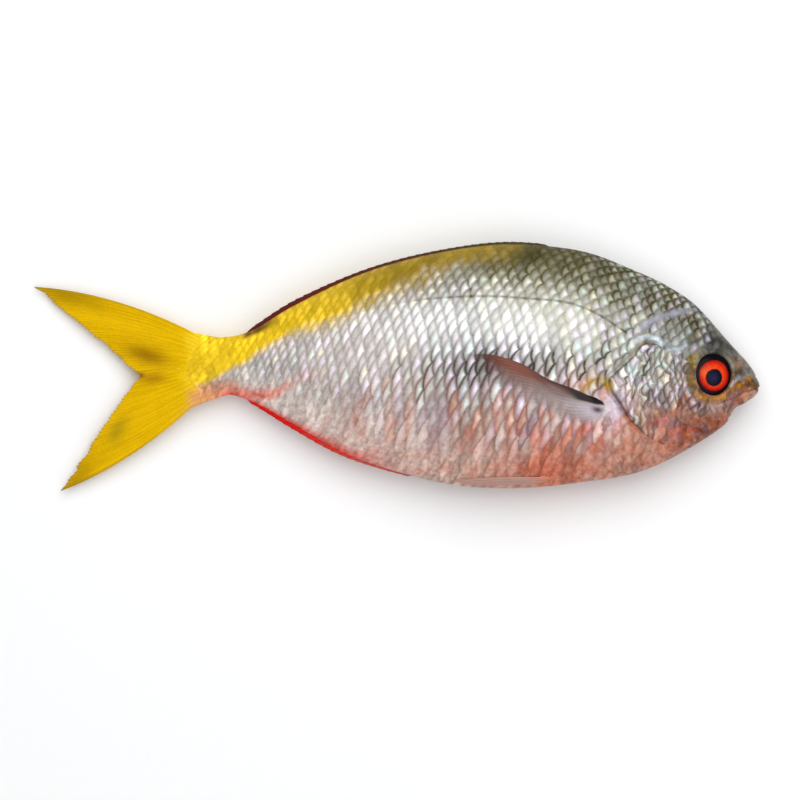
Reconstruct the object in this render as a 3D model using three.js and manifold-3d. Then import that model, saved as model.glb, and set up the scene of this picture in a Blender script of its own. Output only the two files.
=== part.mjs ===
// A whole raw fish (a fork-tailed reef fish of the fusilier kind) lying on its left side.
//
// Millimetres, +Z up. The snout points to +X, the back to +Y, and the right flank faces up. The
// origin is the middle of the underside of the bounding box, on the surface that the fish lies on.
// The body is one lofted solid with two eye sockets cut into it; each eye and each fin is its own
// solid, folded against the body as on a fish out of water, with a small gap to its neighbours.
import * as THREE from "three";
import { mergeVertices } from "three/addons/utils/BufferGeometryUtils.js";
import Module from "manifold-3d";

// ---- Driving dimensions ----
const SNOUT_X = 150; // tip of the closed mouth
const TAIL_BASE_X = -84.5; // where the body ends and the tail fin begins
const TAIL_TIP_X = -150; // tip of the upper tail lobe
const BODY_RINGS = 66;
const RING_POINTS = 40;
const NOSE_INSET = 0.1; // from the tip of the snout to the first ring
const GAP = 0.3; // clearance between pieces that meet
const WIDEST_LEVEL = 0.52; // height of the widest line, as a share of the body's depth
const FLANK_POWER = 1.08; // 1 is an elliptical section; more makes the back and belly keener

// Height of the back and of the belly line, and half the body's thickness, along its length.
const BACK = [
  [-84.5, 14.4], [-71.5, 12.3], [-62.9, 13.8], [-43.6, 24.6], [-14.8, 38.2], [18.1, 47.2],
  [46.9, 50.6], [63.3, 49.7], [79.7, 46.9], [96.2, 40.6], [112.6, 32.9], [122.9, 25.9],
  [131.1, 17.3], [139.3, 7.4], [145.5, 1], [149, -5], [150, -7.8],
];
const BELLY = [
  [-84.5, -16.8], [-75, -13.2], [-68.2, -11.5], [-61.5, -13.6], [-43.6, -23.2], [-23, -34.9],
  [1.6, -43.6], [26.3, -49.1], [42.7, -50.1], [75.6, -47.7], [104.4, -41.9], [124.9, -31.2],
  [133.5, -25.4], [136.6, -22.6], [138.7, -18.6], [144.7, -14.4], [149, -10.2], [150, -7.8],
];
const HALF_WIDTH = [
  [-84.5, 2.4], [-68, 4.5], [-49.3, 7.2], [-25.9, 11], [-2.4, 14.6], [21, 17.6], [44.5, 19.7],
  [60, 20], [74, 19.1], [86.7, 17.9], [103, 15.9], [114.8, 13.3], [126.5, 10.5], [136, 7.8],
  [143, 5.4], [148, 2.9], [149.3, 1.7], [150, 0],
];

// The spine's height above the surface: highest where the body is thickest, drooping to the ends.
const SPINE_TOP = { x: 60, z: 18.8 };
const TAIL_DROOP = { depth: 8.8, power: 1.8 };
const HEAD_DROOP = { depth: 3, power: 2 };

const EYE = { x: 130.1, y: -4.4, radius: 8.8, depth: 4.4, sunk: 2.2 };
const TAIL_FIN_THICKNESS = 1.2;
const FOLDED_FIN_LIFT = 0.5; // from the skin to the inner face of a fin lying on it
const FOLDED_FIN_THICKNESS = 0.8;

// ---- Curves ----
// A smooth curve through points sorted by their first number.
function smoothThrough(points) {
  const slope = (i) => (points[i + 1][1] - points[i][1]) / (points[i + 1][0] - points[i][0]);
  const tangent = (i) => {
    if (i === 0) return slope(0);
    if (i === points.length - 1) return slope(i - 1);
    const before = points[i][0] - points[i - 1][0];
    const after = points[i + 1][0] - points[i][0];
    return (slope(i - 1) * after + slope(i) * before) / (before + after);
  };
  return (x) => {
    const last = points.length - 2;
    const found = points.findIndex((p) => p[0] > x);
    const i = found < 0 ? last : Math.min(last, Math.max(0, found - 1));
    const span = points[i + 1][0] - points[i][0];
    const t = THREE.MathUtils.clamp((x - points[i][0]) / span, 0, 1);
    const [a, b] = [points[i][1], points[i + 1][1]];
    const [ma, mb] = [tangent(i) * span, tangent(i + 1) * span];
    return a + t * (ma + t * (3 * (b - a) - 2 * ma - mb + t * (2 * (a - b) + ma + mb)));
  };
}

const back = smoothThrough(BACK);
const belly = smoothThrough(BELLY);
const halfWidth = smoothThrough(HALF_WIDTH);

// Height of the spine; past the tail base it runs straight on, so that the tail fin is flat.
function spine(x) {
  const towardsTail = (SPINE_TOP.x - x) / (SPINE_TOP.x - TAIL_BASE_X);
  if (x > SPINE_TOP.x) {
    const towardsHead = (x - SPINE_TOP.x) / (SNOUT_X - SPINE_TOP.x);
    return SPINE_TOP.z - HEAD_DROOP.depth * towardsHead ** HEAD_DROOP.power;
  }
  const { depth, power } = TAIL_DROOP;
  if (towardsTail < 1) return SPINE_TOP.z - depth * towardsTail ** power;
  return SPINE_TOP.z - depth * (1 + power * (towardsTail - 1));
}

// ---- The body's skin ----
// angle 0 is the back, a quarter turn the right flank (up), a half turn the belly.
function skin(x, angle) {
  const [top, bottom] = [back(x), belly(x)];
  const middle = bottom + (top - bottom) * WIDEST_LEVEL;
  const reach = Math.cos(angle) > 0 ? top - middle : middle - bottom;
  const bulge = Math.sign(Math.sin(angle)) * Math.abs(Math.sin(angle)) ** FLANK_POWER;
  return new THREE.Vector3(
    x,
    middle + reach * Math.cos(angle),
    spine(x) + Math.max(0, halfWidth(x)) * bulge,
  );
}

// The skin's outward direction, from two short steps along it.
function skinNormal(x, angle) {
  const step = 0.01;
  const alongBody = skin(x + step, angle).sub(skin(x - step, angle));
  const aroundBody = skin(x, angle + step).sub(skin(x, angle - step));
  return aroundBody.cross(alongBody).normalize();
}

// The angle at which the skin of one side (1 right, -1 left) stands at height y.
function angleAt(x, y, side) {
  const [top, bottom] = [back(x), belly(x)];
  const middle = bottom + (top - bottom) * WIDEST_LEVEL;
  const reach = y > middle ? top - middle : middle - bottom;
  return side * Math.acos(THREE.MathUtils.clamp((y - middle) / reach, -1, 1));
}

function liftedSkin(x, y, side, lift) {
  const angle = angleAt(x, y, side);
  return skin(x, angle).addScaledVector(skinNormal(x, angle), lift);
}

// ---- Closed surfaces ----
// Joins rings of points into one closed geometry, with a fan at each end.
function loft(rings) {
  const size = rings[0].length;
  const points = rings.flat();
  const faces = [];
  for (let i = 0; i < rings.length - 1; i++) {
    for (let j = 0; j < size; j++) {
      const next = (j + 1) % size;
      const [a, b] = [i * size + j, i * size + next];
      faces.push(a, a + size, b, b, a + size, b + size);
    }
  }
  const fan = (start, flip) => {
    const centre = new THREE.Vector3();
    for (let j = 0; j < size; j++) centre.addScaledVector(points[start + j], 1 / size);
    const hub = points.push(centre) - 1;
    for (let j = 0; j < size; j++) {
      const [a, b] = [start + j, start + ((j + 1) % size)];
      faces.push(hub, flip ? b : a, flip ? a : b);
    }
  };
  fan(0, false);
  fan((rings.length - 1) * size, true);
  return new THREE.BufferGeometry().setFromPoints(points).setIndex(faces);
}

// ---- Boolean cuts ----
const wasm = await Module();
wasm.setup();

function solidOf(geometry) {
  const bare = geometry.clone();
  bare.deleteAttribute("normal");
  bare.deleteAttribute("uv");
  const merged = mergeVertices(bare, 1e-4);
  return new wasm.Manifold(
    new wasm.Mesh({
      numProp: 3,
      vertProperties: merged.attributes.position.array,
      triVerts: new Uint32Array(merged.index.array),
    }),
  );
}

function geometryOf(solid) {
  const { vertProperties, triVerts } = solid.getMesh();
  return new THREE.BufferGeometry()
    .setAttribute("position", new THREE.BufferAttribute(vertProperties, 3))
    .setIndex(new THREE.BufferAttribute(triVerts, 1));
}

// ---- Pieces ----
function material(color, roughness, metalness = 0) {
  return new THREE.MeshStandardMaterial({ color, roughness, metalness });
}

const SILVER_SKIN = material(0xc9c4bd, 0.35, 0.2);
const YELLOW_FIN = material(0xe8c010, 0.5);
const DARK_FIN = material(0x5c2a22, 0.5);
const RED_FIN = material(0xd8281c, 0.5);
const PINK_FIN = material(0xc08c80, 0.45);
const EYE_RED = material(0xe8401c, 0.1);

function piece(name, geometry, finish) {
  const mesh = new THREE.Mesh(geometry, finish);
  mesh.name = name;
  return mesh;
}

// Where one eyeball sits, sunk into the skin and facing along its normal.
function eyePlacement(side, growth) {
  const angle = angleAt(EYE.x, EYE.y, side);
  const outward = skinNormal(EYE.x, angle);
  const centre = skin(EYE.x, angle).addScaledVector(outward, -EYE.sunk);
  const turn = new THREE.Quaternion().setFromUnitVectors(new THREE.Vector3(0, 0, 1), outward);
  const [wide, deep] = [EYE.radius + growth, EYE.depth + growth];
  return new THREE.Matrix4().compose(centre, turn, new THREE.Vector3(wide, wide, deep));
}

function eye(name, side) {
  const made = piece(name, new THREE.SphereGeometry(1, 24, 12), EYE_RED);
  made.applyMatrix4(eyePlacement(side, 0));
  return made;
}

// The body: rings closer together at the snout, pressed flat where it rests on the surface.
function body() {
  const rings = [];
  const firstX = SNOUT_X - NOSE_INSET;
  for (let i = 0; i <= BODY_RINGS; i++) {
    const x = firstX - (firstX - TAIL_BASE_X) * (i / BODY_RINGS) ** 1.45;
    const ring = [];
    for (let j = 0; j < RING_POINTS; j++) {
      const point = skin(x, (2 * Math.PI * j) / RING_POINTS);
      point.z = Math.max(0, point.z);
      ring.push(point);
    }
    rings.push(ring);
  }
  const sockets = [1, -1].map((side) =>
    solidOf(new THREE.SphereGeometry(1, 24, 12).applyMatrix4(eyePlacement(side, GAP))),
  );
  let solid = solidOf(loft(rings));
  for (const socket of sockets) solid = solid.subtract(socket);
  return piece("body", geometryOf(solid), SILVER_SKIN);
}

// The forked tail fin: a thin plate that follows the slope of the spine.
function caudalFin() {
  const rootX = TAIL_BASE_X - GAP;
  const shape = new THREE.Shape();
  shape.moveTo(rootX, 14.8);
  shape.quadraticCurveTo(-117.6, 31.1, TAIL_TIP_X, 33.2);
  shape.quadraticCurveTo(-127.5, 14.6, -106.4, -3.7);
  shape.quadraticCurveTo(-121.8, -22.9, -138.9, -51.4);
  shape.quadraticCurveTo(-111.9, -41.3, rootX, -17.2);
  shape.closePath();
  const plate = new THREE.ExtrudeGeometry(shape, {
    depth: TAIL_FIN_THICKNESS,
    bevelEnabled: false,
    curveSegments: 12,
  });
  const points = plate.attributes.position;
  for (let i = 0; i < points.count; i++) {
    const lowered = points.getZ(i) - TAIL_FIN_THICKNESS / 2;
    points.setZ(i, spine(points.getX(i)) + lowered);
  }
  return piece("caudal_fin", plate, YELLOW_FIN);
}

// A fin folded down on the body's edge: a low blade along the back (up 1) or the belly (up -1).
function foldedBlade(name, { fromX, toX, thickness, heights, up, finish }) {
  const height = smoothThrough(heights);
  const edge = up > 0 ? back : belly;
  const steps = 26;
  const rings = [];
  for (let i = 0; i <= steps; i++) {
    const x = toX + ((fromX - toX) * i) / steps;
    const [foot, top] = [edge(x) + up * GAP, edge(x) + up * (GAP + height(x))];
    const corners = [
      [foot, thickness / 2],
      [foot, -thickness / 2],
      [top, -thickness / 4],
      [top, thickness / 4],
    ];
    if (up < 0) corners.reverse();
    rings.push(corners.map(([y, z]) => new THREE.Vector3(x, y, spine(x) + z)));
  }
  return piece(name, loft(rings), finish);
}

// A paired fin lying on the skin, given by the ends of its root, of its first and of its last ray.
function pairedFin(name, side, { root, firstRay, lastRay, belliedEdge, finish }) {
  const corners = [...root, firstRay, lastRay];
  const [top, low, first, last] = corners.map(([x, y]) => new THREE.Vector2(x, y));
  const [along, across] = [12, 6];
  const sheet = (lift) => {
    const rows = [];
    for (let i = 0; i <= along; i++) {
      const row = [];
      for (let j = 0; j <= across; j++) {
        const [u, v] = [i / along, j / across];
        const near = top.clone().lerp(low, v);
        const far = first.clone().lerp(last, v);
        const at = near.lerp(far, u * (1 + belliedEdge * v * (1 - v)));
        row.push(liftedSkin(at.x, at.y, side, lift));
      }
      rows.push(row);
    }
    return rows;
  };
  const inner = sheet(FOLDED_FIN_LIFT);
  const outer = sheet(FOLDED_FIN_LIFT + FOLDED_FIN_THICKNESS);
  const rings = inner.map((row, i) => {
    const ring = [...row, ...outer[i].slice().reverse()];
    return side > 0 ? ring.reverse() : ring;
  });
  return piece(name, loft(rings), finish);
}

const RIGHT_PECTORAL = {
  root: [[86, -14.2], [86, -23]],
  firstRay: [28.5, 5.4],
  lastRay: [60, -27.5],
  belliedEdge: 0.25,
  finish: PINK_FIN,
};
// Caught between the flank and the surface, the lower pectoral fin is closed and pushed down.
const LEFT_PECTORAL = {
  root: [[86, -14.2], [86, -22]],
  firstRay: [30, -34],
  lastRay: [48, -38],
  belliedEdge: 0.15,
  finish: PINK_FIN,
};
const PELVIC = {
  root: [[62, -44.6], [62, -47.4]],
  firstRay: [24, -45.8],
  lastRay: [33, -48.2],
  belliedEdge: 0.2,
  finish: PINK_FIN,
};

const fish = new THREE.Group();
fish.add(
  body(),
  eye("right_eye", 1),
  eye("left_eye", -1),
  caudalFin(),
  foldedBlade("dorsal_fin", {
    fromX: -63.5,
    toX: 66,
    thickness: 1.8,
    heights: [[-63.5, 0.5], [-56, 1.6], [-45, 1.9], [-20, 1.2], [20, 0.8], [50, 0.7], [66, 0.4]],
    up: 1,
    finish: DARK_FIN,
  }),
  foldedBlade("anal_fin", {
    fromX: -62.5,
    toX: 8,
    thickness: 1.8,
    heights: [[-62.5, 0.5], [-52, 1.5], [-38, 1.9], [-22, 1.3], [-6, 0.7], [8, 0.4]],
    up: -1,
    finish: RED_FIN,
  }),
  pairedFin("right_pectoral_fin", 1, RIGHT_PECTORAL),
  pairedFin("left_pectoral_fin", -1, LEFT_PECTORAL),
  pairedFin("right_pelvic_fin", 1, PELVIC),
  pairedFin("left_pelvic_fin", -1, PELVIC),
);

// The origin goes to the middle of the underside of the whole fish's box.
const box = new THREE.Box3().setFromObject(fish, true);
const centre = box.getCenter(new THREE.Vector3());
fish.position.set(-centre.x, -centre.y, -box.min.z);

export default fish;
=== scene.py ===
"""The looks of a whole raw fish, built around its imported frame.

Metres, in the frame's own axes: +X snout, +Y back, +Z up out of the right flank. Lengths written in
millimetres are multiplied by MM. A place on the flank is given as (s, t): s runs from 0 at the
snout to 1 at the tail base, and t from 0 at the belly line to 1 at the back. A place on the head is
given in millimetres forward of and above the centre of the eye. Both sides of the fish are made
alike, apart from their random scales.
"""
import math
from types import SimpleNamespace

import bpy
import numpy as np
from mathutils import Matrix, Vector
from mathutils.bvhtree import BVHTree


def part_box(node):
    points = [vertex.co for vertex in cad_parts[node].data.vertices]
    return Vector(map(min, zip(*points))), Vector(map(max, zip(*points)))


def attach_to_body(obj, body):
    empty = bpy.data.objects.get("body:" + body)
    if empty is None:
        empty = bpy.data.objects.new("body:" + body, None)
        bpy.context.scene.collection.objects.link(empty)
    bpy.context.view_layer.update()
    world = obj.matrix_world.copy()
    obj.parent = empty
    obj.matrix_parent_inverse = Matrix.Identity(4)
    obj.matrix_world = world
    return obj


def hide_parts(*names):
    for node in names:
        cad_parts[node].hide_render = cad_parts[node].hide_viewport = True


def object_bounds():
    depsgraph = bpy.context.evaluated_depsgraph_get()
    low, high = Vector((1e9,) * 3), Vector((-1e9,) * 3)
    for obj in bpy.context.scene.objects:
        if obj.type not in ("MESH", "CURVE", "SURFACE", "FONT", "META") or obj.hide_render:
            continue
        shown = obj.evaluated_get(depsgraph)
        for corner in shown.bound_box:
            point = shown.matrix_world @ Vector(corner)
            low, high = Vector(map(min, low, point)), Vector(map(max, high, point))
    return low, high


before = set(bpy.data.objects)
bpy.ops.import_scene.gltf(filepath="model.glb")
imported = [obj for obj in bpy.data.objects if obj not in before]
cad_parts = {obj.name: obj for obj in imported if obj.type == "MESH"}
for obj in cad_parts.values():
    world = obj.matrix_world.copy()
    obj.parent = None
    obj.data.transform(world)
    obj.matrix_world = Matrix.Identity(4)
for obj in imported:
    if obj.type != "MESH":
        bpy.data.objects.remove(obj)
CAD_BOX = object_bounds()

MM = 0.001

# ---- The body's mesh ----
RINGS = 660
SIDE_POINTS = 300  # from the back to the belly line, on each side
MIN_RING_POINTS = 18  # a ring of the solid has at least this many points at one X
RING_STEPS = 20  # steps of the solid's rings from the back to the belly line
SKIN_FLOOR = 0.02 * MM  # the skin stays this far above the surface
SNOUT_CAP = 0.1 * MM  # how far the last point of the snout stands in front of its ring

# ---- Scales ----
SCALE_PITCH = [(0, 3.4), (0.2, 4.0), (0.35, 4.5), (0.6, 4.4), (0.8, 3.6), (1, 2.7)]  # s, mm
SCALE_ROW = [(0, 3.0), (0.2, 3.6), (0.35, 3.8), (0.6, 3.8), (0.8, 3.4), (1, 2.6)]  # s, mm
ROW_GROWTH = 90.0  # rows widen by a factor e over this many millimetres down the flank
SCALE_LEAN = 0.28  # how far the columns of scales lean towards the snout at the top
SCALE_REACH = (0.8, 1.15)  # half a scale's length in pitches, and half its height in rows
SCALE_STEP = 0.30 * MM  # how far one scale's edge stands above the next scale
CHEEK_SCALE = 1.3  # the cheek's scales are this much smaller
TUBE_HEIGHT = 0.12 * MM  # of the lateral line
BARE_ROUGHNESS = 0.06 * MM  # of the skin where no scales grow
FACE_SHADE = np.array([0.22, 0.27, 0.38])  # how much darker the snout and jaws are, by channel

# The lateral line, on the flank.
LATERAL_LINE = [
    (0.0, 0.62), (0.239, 0.683), (0.28, 0.728), (0.324, 0.759), (0.418, 0.775), (0.537, 0.795),
    (0.61, 0.80), (0.72, 0.782), (0.81, 0.755), (0.874, 0.70), (0.928, 0.627), (1.0, 0.54),
]

# Lines on the head, in millimetres from the eye.
GILL_EDGE = [
    (-21.1, 11.1), (-23.3, 12.2), (-26.7, 13.0), (-30.0, 12.2), (-32.1, 9.8), (-33.3, 7.8),
    (-36.5, 5.0), (-39.9, 1.7), (-42.5, -0.4), (-43.6, -2.6), (-42.6, -6.0), (-41.0, -8.2),
    (-39.3, -10.9), (-37.7, -13.7), (-35.4, -17.0), (-33.2, -19.8), (-30.0, -22.5),
    (-27.8, -24.8), (-23.0, -27.6), (-16.0, -29.5), (-8.0, -29.8), (0.0, -27.6),
]
CHEEK_EDGE = [
    (-18.0, 5.0), (-19.5, 0.0), (-19.8, -5.0), (-19.5, -9.5), (-18.0, -14.5), (-14.0, -19.0),
    (-7.0, -21.5), (1.0, -21.0),
]
MOUTH_LINE = [(19.9, -4.4), (16.3, -6.0), (12.6, -7.3), (8.7, -9.4), (4.8, -10.8), (1.5, -12.2)]
LIP_LINE = [(18.6, 0.6), (16.9, -1.4), (15.6, -3.6), (14.2, -5.6)]
BROW_LINE = [(-21.0, 11.5), (-15.0, 12.2), (-8.0, 14.2), (-2.5, 14.8), (4.0, 13.2), (8.5, 9.6)]
NAPE_LINE = [(-32.5, 17.5), (-27.0, 21.7), (-21.8, 24.3), (-14.6, 25.9), (-6.4, 27.0)]
CROWN_LINE = [
    (-34.2, 11.6), (-32.1, 14.6), (-27.7, 15.9), (-23.3, 14.8), (-21.1, 12.6), (-19.0, 11.5),
    (-15.0, 11.2), (-11.7, 12.9),
]
CHIN_LINE = [(8.4, -17.8), (3.0, -17.4), (-3.0, -18.0), (-8.0, -19.6)]


# =============================== Curves, noise and small helpers ===============================
def smoothstep(low, high, value):
    t = np.clip((value - low) / (high - low), 0, 1)
    return t * t * (3 - 2 * t)


def bump_at(value, width):
    """1 at value 0, falling off like a bell."""
    return np.exp(-((value / width) ** 2))


def toward(colour, tone, share):
    """Colours moved towards a tone: not at all where share is 0, and all the way where it is 1."""
    return colour + share[..., None] * (tone - colour)


def cubic(a, b, slope_a, slope_b, t):
    """A smooth step from a to b that leaves and arrives with the given slopes."""
    steeper = 3 * (b - a) - 2 * slope_a - slope_b
    return a + t * (slope_a + t * (steeper + t * (2 * (a - b) + slope_a + slope_b)))


def hermite(knots, values, at):
    """A smooth curve through values (one row a knot), read at the given places."""
    knots = np.asarray(knots, float)
    values = np.asarray(values, float)
    shape = (-1,) + (1,) * (values.ndim - 1)
    gap = np.diff(knots).reshape(shape)
    slopes = np.diff(values, axis=0) / gap
    tangents = np.empty_like(values)
    tangents[0], tangents[-1] = slopes[0], slopes[-1]
    tangents[1:-1] = (slopes[:-1] * gap[1:] + slopes[1:] * gap[:-1]) / (gap[1:] + gap[:-1])
    i = np.clip(np.searchsorted(knots, at, side="right") - 1, 0, len(knots) - 2)
    span = (knots[i + 1] - knots[i]).reshape(shape)
    t = np.clip((at - knots[i]).reshape(shape) / span, 0, 1)
    return cubic(values[i], values[i + 1], tangents[i] * span, tangents[i + 1] * span, t)


def curve_at(points, at):
    """Reads a short list of (place, value) pairs as a smooth curve."""
    places, values = zip(*points)
    flat = np.clip(np.ravel(at), places[0], places[-1])
    return hermite(places, values, flat).reshape(np.shape(at))


def hash01(i, j, seed):
    """A repeatable random number from 0 to 1 for each pair of whole numbers."""
    mixed = np.sin(i * 127.1 + j * 311.7 + seed * 74.7) * 43758.5453
    return mixed - np.floor(mixed)


def noise(x, y, seed):
    """Smooth random values from 0 to 1."""
    i, j = np.floor(x), np.floor(y)
    fx, fy = x - i, y - j
    fx, fy = fx * fx * (3 - 2 * fx), fy * fy * (3 - 2 * fy)
    low = hash01(i, j, seed) * (1 - fx) + hash01(i + 1, j, seed) * fx
    high = hash01(i, j + 1, seed) * (1 - fx) + hash01(i + 1, j + 1, seed) * fx
    return low * (1 - fy) + high * fy


def cloud(x, y, seed):
    """Three octaves of noise, from about -1 to 1."""
    total = sum(noise(x * 2**k, y * 2**k, seed + k) * 0.5**k for k in range(3))
    return total / 0.875 - 1


def resample(points, count):
    """Evenly numbered points on the smooth line through a short list of points."""
    points = np.asarray(points, float)
    return hermite(np.arange(len(points)), points, np.linspace(0, len(points) - 1, count))


def coons(first, last, near, far):
    """A smooth patch between four edges: first and last run along it, near and far across it."""
    s = np.linspace(0, 1, len(first))[:, None, None]
    t = np.linspace(0, 1, len(near))[None, :, None]
    patch = (1 - t) * first[:, None] + t * last[:, None] + (1 - s) * near[None] + s * far[None]
    patch -= (1 - s) * ((1 - t) * first[0] + t * last[0])
    patch -= s * ((1 - t) * first[-1] + t * last[-1])
    return patch


def by_length(points, count):
    """Evenly spaced points along an outline."""
    travelled = np.concatenate([[0], np.cumsum(np.linalg.norm(np.diff(points, axis=0), axis=1))])
    return hermite(travelled, points, np.linspace(0, travelled[-1], count))


def turned_oval(x, y, middle_x, middle_y, half_length, half_height, turn):
    """The square of each place's distance from the middle of an oval, which is 1 on the oval."""
    along, up = math.cos(math.radians(turn)), math.sin(math.radians(turn))
    dx, dy = x - middle_x, y - middle_y
    return ((dx * along + dy * up) / half_length) ** 2 + ((dy * along - dx * up) / half_height) ** 2


def line_distance(x, y, points, count=90):
    """Distance to a line, positive on its left, and the share of the line at the nearest point."""
    line = resample(points, count)
    best = np.full(x.shape, np.inf)
    signed = np.zeros(x.shape)
    share = np.zeros(x.shape)
    for k in range(count - 1):
        (ax, ay), (bx, by) = line[k], line[k + 1]
        dx, dy = bx - ax, by - ay
        t = np.clip(((x - ax) * dx + (y - ay) * dy) / (dx * dx + dy * dy), 0, 1)
        px, py = x - ax - t * dx, y - ay - t * dy
        distance = np.hypot(px, py)
        nearer = distance < best
        best = np.where(nearer, distance, best)
        signed = np.where(nearer, np.sign(dx * py - dy * px) * distance, signed)
        share = np.where(nearer, (k + t) / (count - 1), share)
    return signed, share


def srgb(red, green, blue):
    """A colour given in display values from 0 to 255, as the linear values that shaders take."""
    c = np.array([red, green, blue]) / 255
    return np.where(c <= 0.04045, c / 12.92, ((c + 0.055) / 1.055) ** 2.4)


# ================================ The body's shape, from the frame ================================
def mesh_points(node):
    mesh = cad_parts[node].data
    co = np.empty(len(mesh.vertices) * 3)
    mesh.vertices.foreach_get("co", co)
    return co.reshape(-1, 3)


def box_middle(node):
    low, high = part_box(node)
    return np.array((low + high) / 2)


EYE_SHIFT = np.array([1.5, 0.8, 0]) * MM  # the eye looks a little forward and up in its socket
SOCKET = box_middle("right_eye")
EYE = SOCKET + EYE_SHIFT
EYE_HALF = float(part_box("right_eye")[1].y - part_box("right_eye")[0].y) / 2


def read_rings():
    """The solid body's rings: X, the back, belly and widest heights, the spine, and the flanks."""
    points = np.unique(np.round(mesh_points("body"), 7), axis=0)
    places, counts = np.unique(np.round(points[:, 0], 6), return_counts=True)
    places = places[counts >= MIN_RING_POINTS]
    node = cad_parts["body"]
    tree = BVHTree.FromObject(node, bpy.context.evaluated_depsgraph_get())
    angles = np.pi * np.arange(RING_STEPS + 1) / RING_STEPS
    rings = [points[np.abs(points[:, 0] - x) < 2e-6] for x in places]
    widest_at = np.array([ring[ring[:, 2].argmax()][1] for ring in rings])
    clear = np.abs(places - SOCKET[0]) > EYE_HALF + 2 * MM
    widest_at = np.interp(places, places[clear], widest_at[clear])
    rows = []
    for x, ring, widest in zip(places, rings, widest_at):
        back, belly = ring[ring[:, 1].argmax()], ring[ring[:, 1].argmin()]
        spine = back[2]
        reach = np.where(np.cos(angles) > 0, back[1] - widest, widest - belly[1])
        heights = widest + reach * np.cos(angles)
        inside = x + math.copysign(1e-5, places.mean() - x)
        flanks = []
        for direction in (1, -1):
            side = np.full(RING_STEPS + 1, np.nan)
            side[[0, -1]] = 0
            for j in range(1, RING_STEPS):
                start = Vector((inside, heights[j], spine))
                hit = tree.ray_cast(start, Vector((0, 0, direction)))[0]
                in_socket = math.hypot(x - SOCKET[0], heights[j] - SOCKET[1]) < EYE_HALF + 1.2 * MM
                if hit is not None and not in_socket:
                    side[j] = hit.z - spine
            flanks.append(filled(side, angles))
        rows.append(np.concatenate([[back[1], belly[1], widest, spine], *flanks]))
    return places, np.array(rows)


def filled(side, angles):
    """Bridges the gaps in one flank's section, such as an eye socket, with a few sine waves."""
    gaps = np.isnan(side)
    if gaps.any():
        waves = np.sin(np.outer(angles, np.arange(1, 6)))
        share = np.linalg.lstsq(waves[~gaps], side[~gaps], rcond=None)[0]
        side[gaps] = waves[gaps] @ share
    return side


RING_X, RING_ROWS = read_rings()
SNOUT_X, BASE_X = RING_X[-1], RING_X[0]
BODY_LENGTH = SNOUT_X - BASE_X


def sections(x):
    """Back, belly, widest and spine heights at x, and the two flanks' offsets from the spine."""
    rows = hermite(RING_X, RING_ROWS, np.ravel(x))
    count = RING_STEPS + 1
    return rows[:, :4].T, rows[:, 4:4 + count], rows[:, 4 + count:]


def flank_height(x, y, side):
    """Height z of the smooth skin at places (x, y) on one side, 1 right or -1 left."""
    x, y = np.broadcast_arrays(x, y)
    (back, belly, widest, spine), right, left = sections(x)
    flat = np.ravel(y)
    reach = np.where(flat > widest, back - widest, widest - belly)
    angle = np.arccos(np.clip((flat - widest) / reach, -0.999, 0.999))
    place = angle / np.pi * RING_STEPS
    flank = right if side > 0 else left
    mirrored = np.concatenate([-flank[:, 1:2], flank, -flank[:, -2:-1]], axis=1)
    i = np.clip(place.astype(int), 0, RING_STEPS - 1)
    rows = np.arange(len(flat))
    before, a, b, after = (mirrored[rows, i + k] for k in range(4))
    height = cubic(a, b, (b - before) / 2, (after - a) / 2, place - i)
    return np.maximum(spine + height, 0).reshape(x.shape)


def even_places(low, high, count, speed):
    """Places between low and high, closer together where speed is high."""
    fine = np.linspace(low, high, 4000)
    travelled = np.concatenate([[0], np.cumsum(speed(fine[:-1] + (fine[1] - fine[0]) / 2))])
    return np.interp(np.linspace(0, travelled[-1], count), travelled, fine)


def profile_speed(x):
    step = 0.2 * MM
    ahead, behind = np.minimum(x + step, SNOUT_X), np.maximum(x - step, BASE_X)
    slope = np.abs(sections(ahead)[0][:2] - sections(behind)[0][:2]) / (ahead - behind)
    return np.sqrt(1 + np.minimum(slope.max(0), 6) ** 2)


def section_speed(angle):
    """How far the skin runs for each radian round the thickest section."""
    x = BASE_X + 0.62 * BODY_LENGTH
    (back, belly, _, _), right, _ = sections(np.array([x]))
    return np.hypot((back - belly) / 2 * np.sin(angle), right.max() * np.cos(angle))


def body_grid():
    """The skin as a grid of points: rings from the snout to the tail, each round from the back."""
    x = even_places(BASE_X, SNOUT_X, RINGS, profile_speed)[::-1]
    angle = even_places(0, np.pi, SIDE_POINTS + 1, section_speed)
    (back, belly, widest, spine), right, left = sections(x)
    around = np.concatenate([right, left[:, -2:0:-1]], axis=1)
    wrapped = np.concatenate([around[:, -2:], around, around[:, :3]], axis=1)
    steps = np.arange(-2, 2 * RING_STEPS + 3) * np.pi / RING_STEPS
    full = np.concatenate([angle, 2 * np.pi - angle[-2:0:-1]])
    offset = hermite(steps, wrapped.T, full).T
    above = np.cos(full) > 0
    reach = np.where(above, (back - widest)[:, None], (widest - belly)[:, None])
    y = widest[:, None] + reach * np.cos(full)
    z = np.maximum(spine[:, None] + offset, 0)
    return np.stack([np.broadcast_to(x[:, None], y.shape), y, z], axis=2)


def grid_normals(points):
    along = np.gradient(points, axis=0)
    across = np.roll(points, -1, axis=1) - np.roll(points, 1, axis=1)
    normal = np.cross(along, across)
    length = np.linalg.norm(normal, axis=2, keepdims=True)
    return normal / np.maximum(length, 1e-12)


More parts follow.
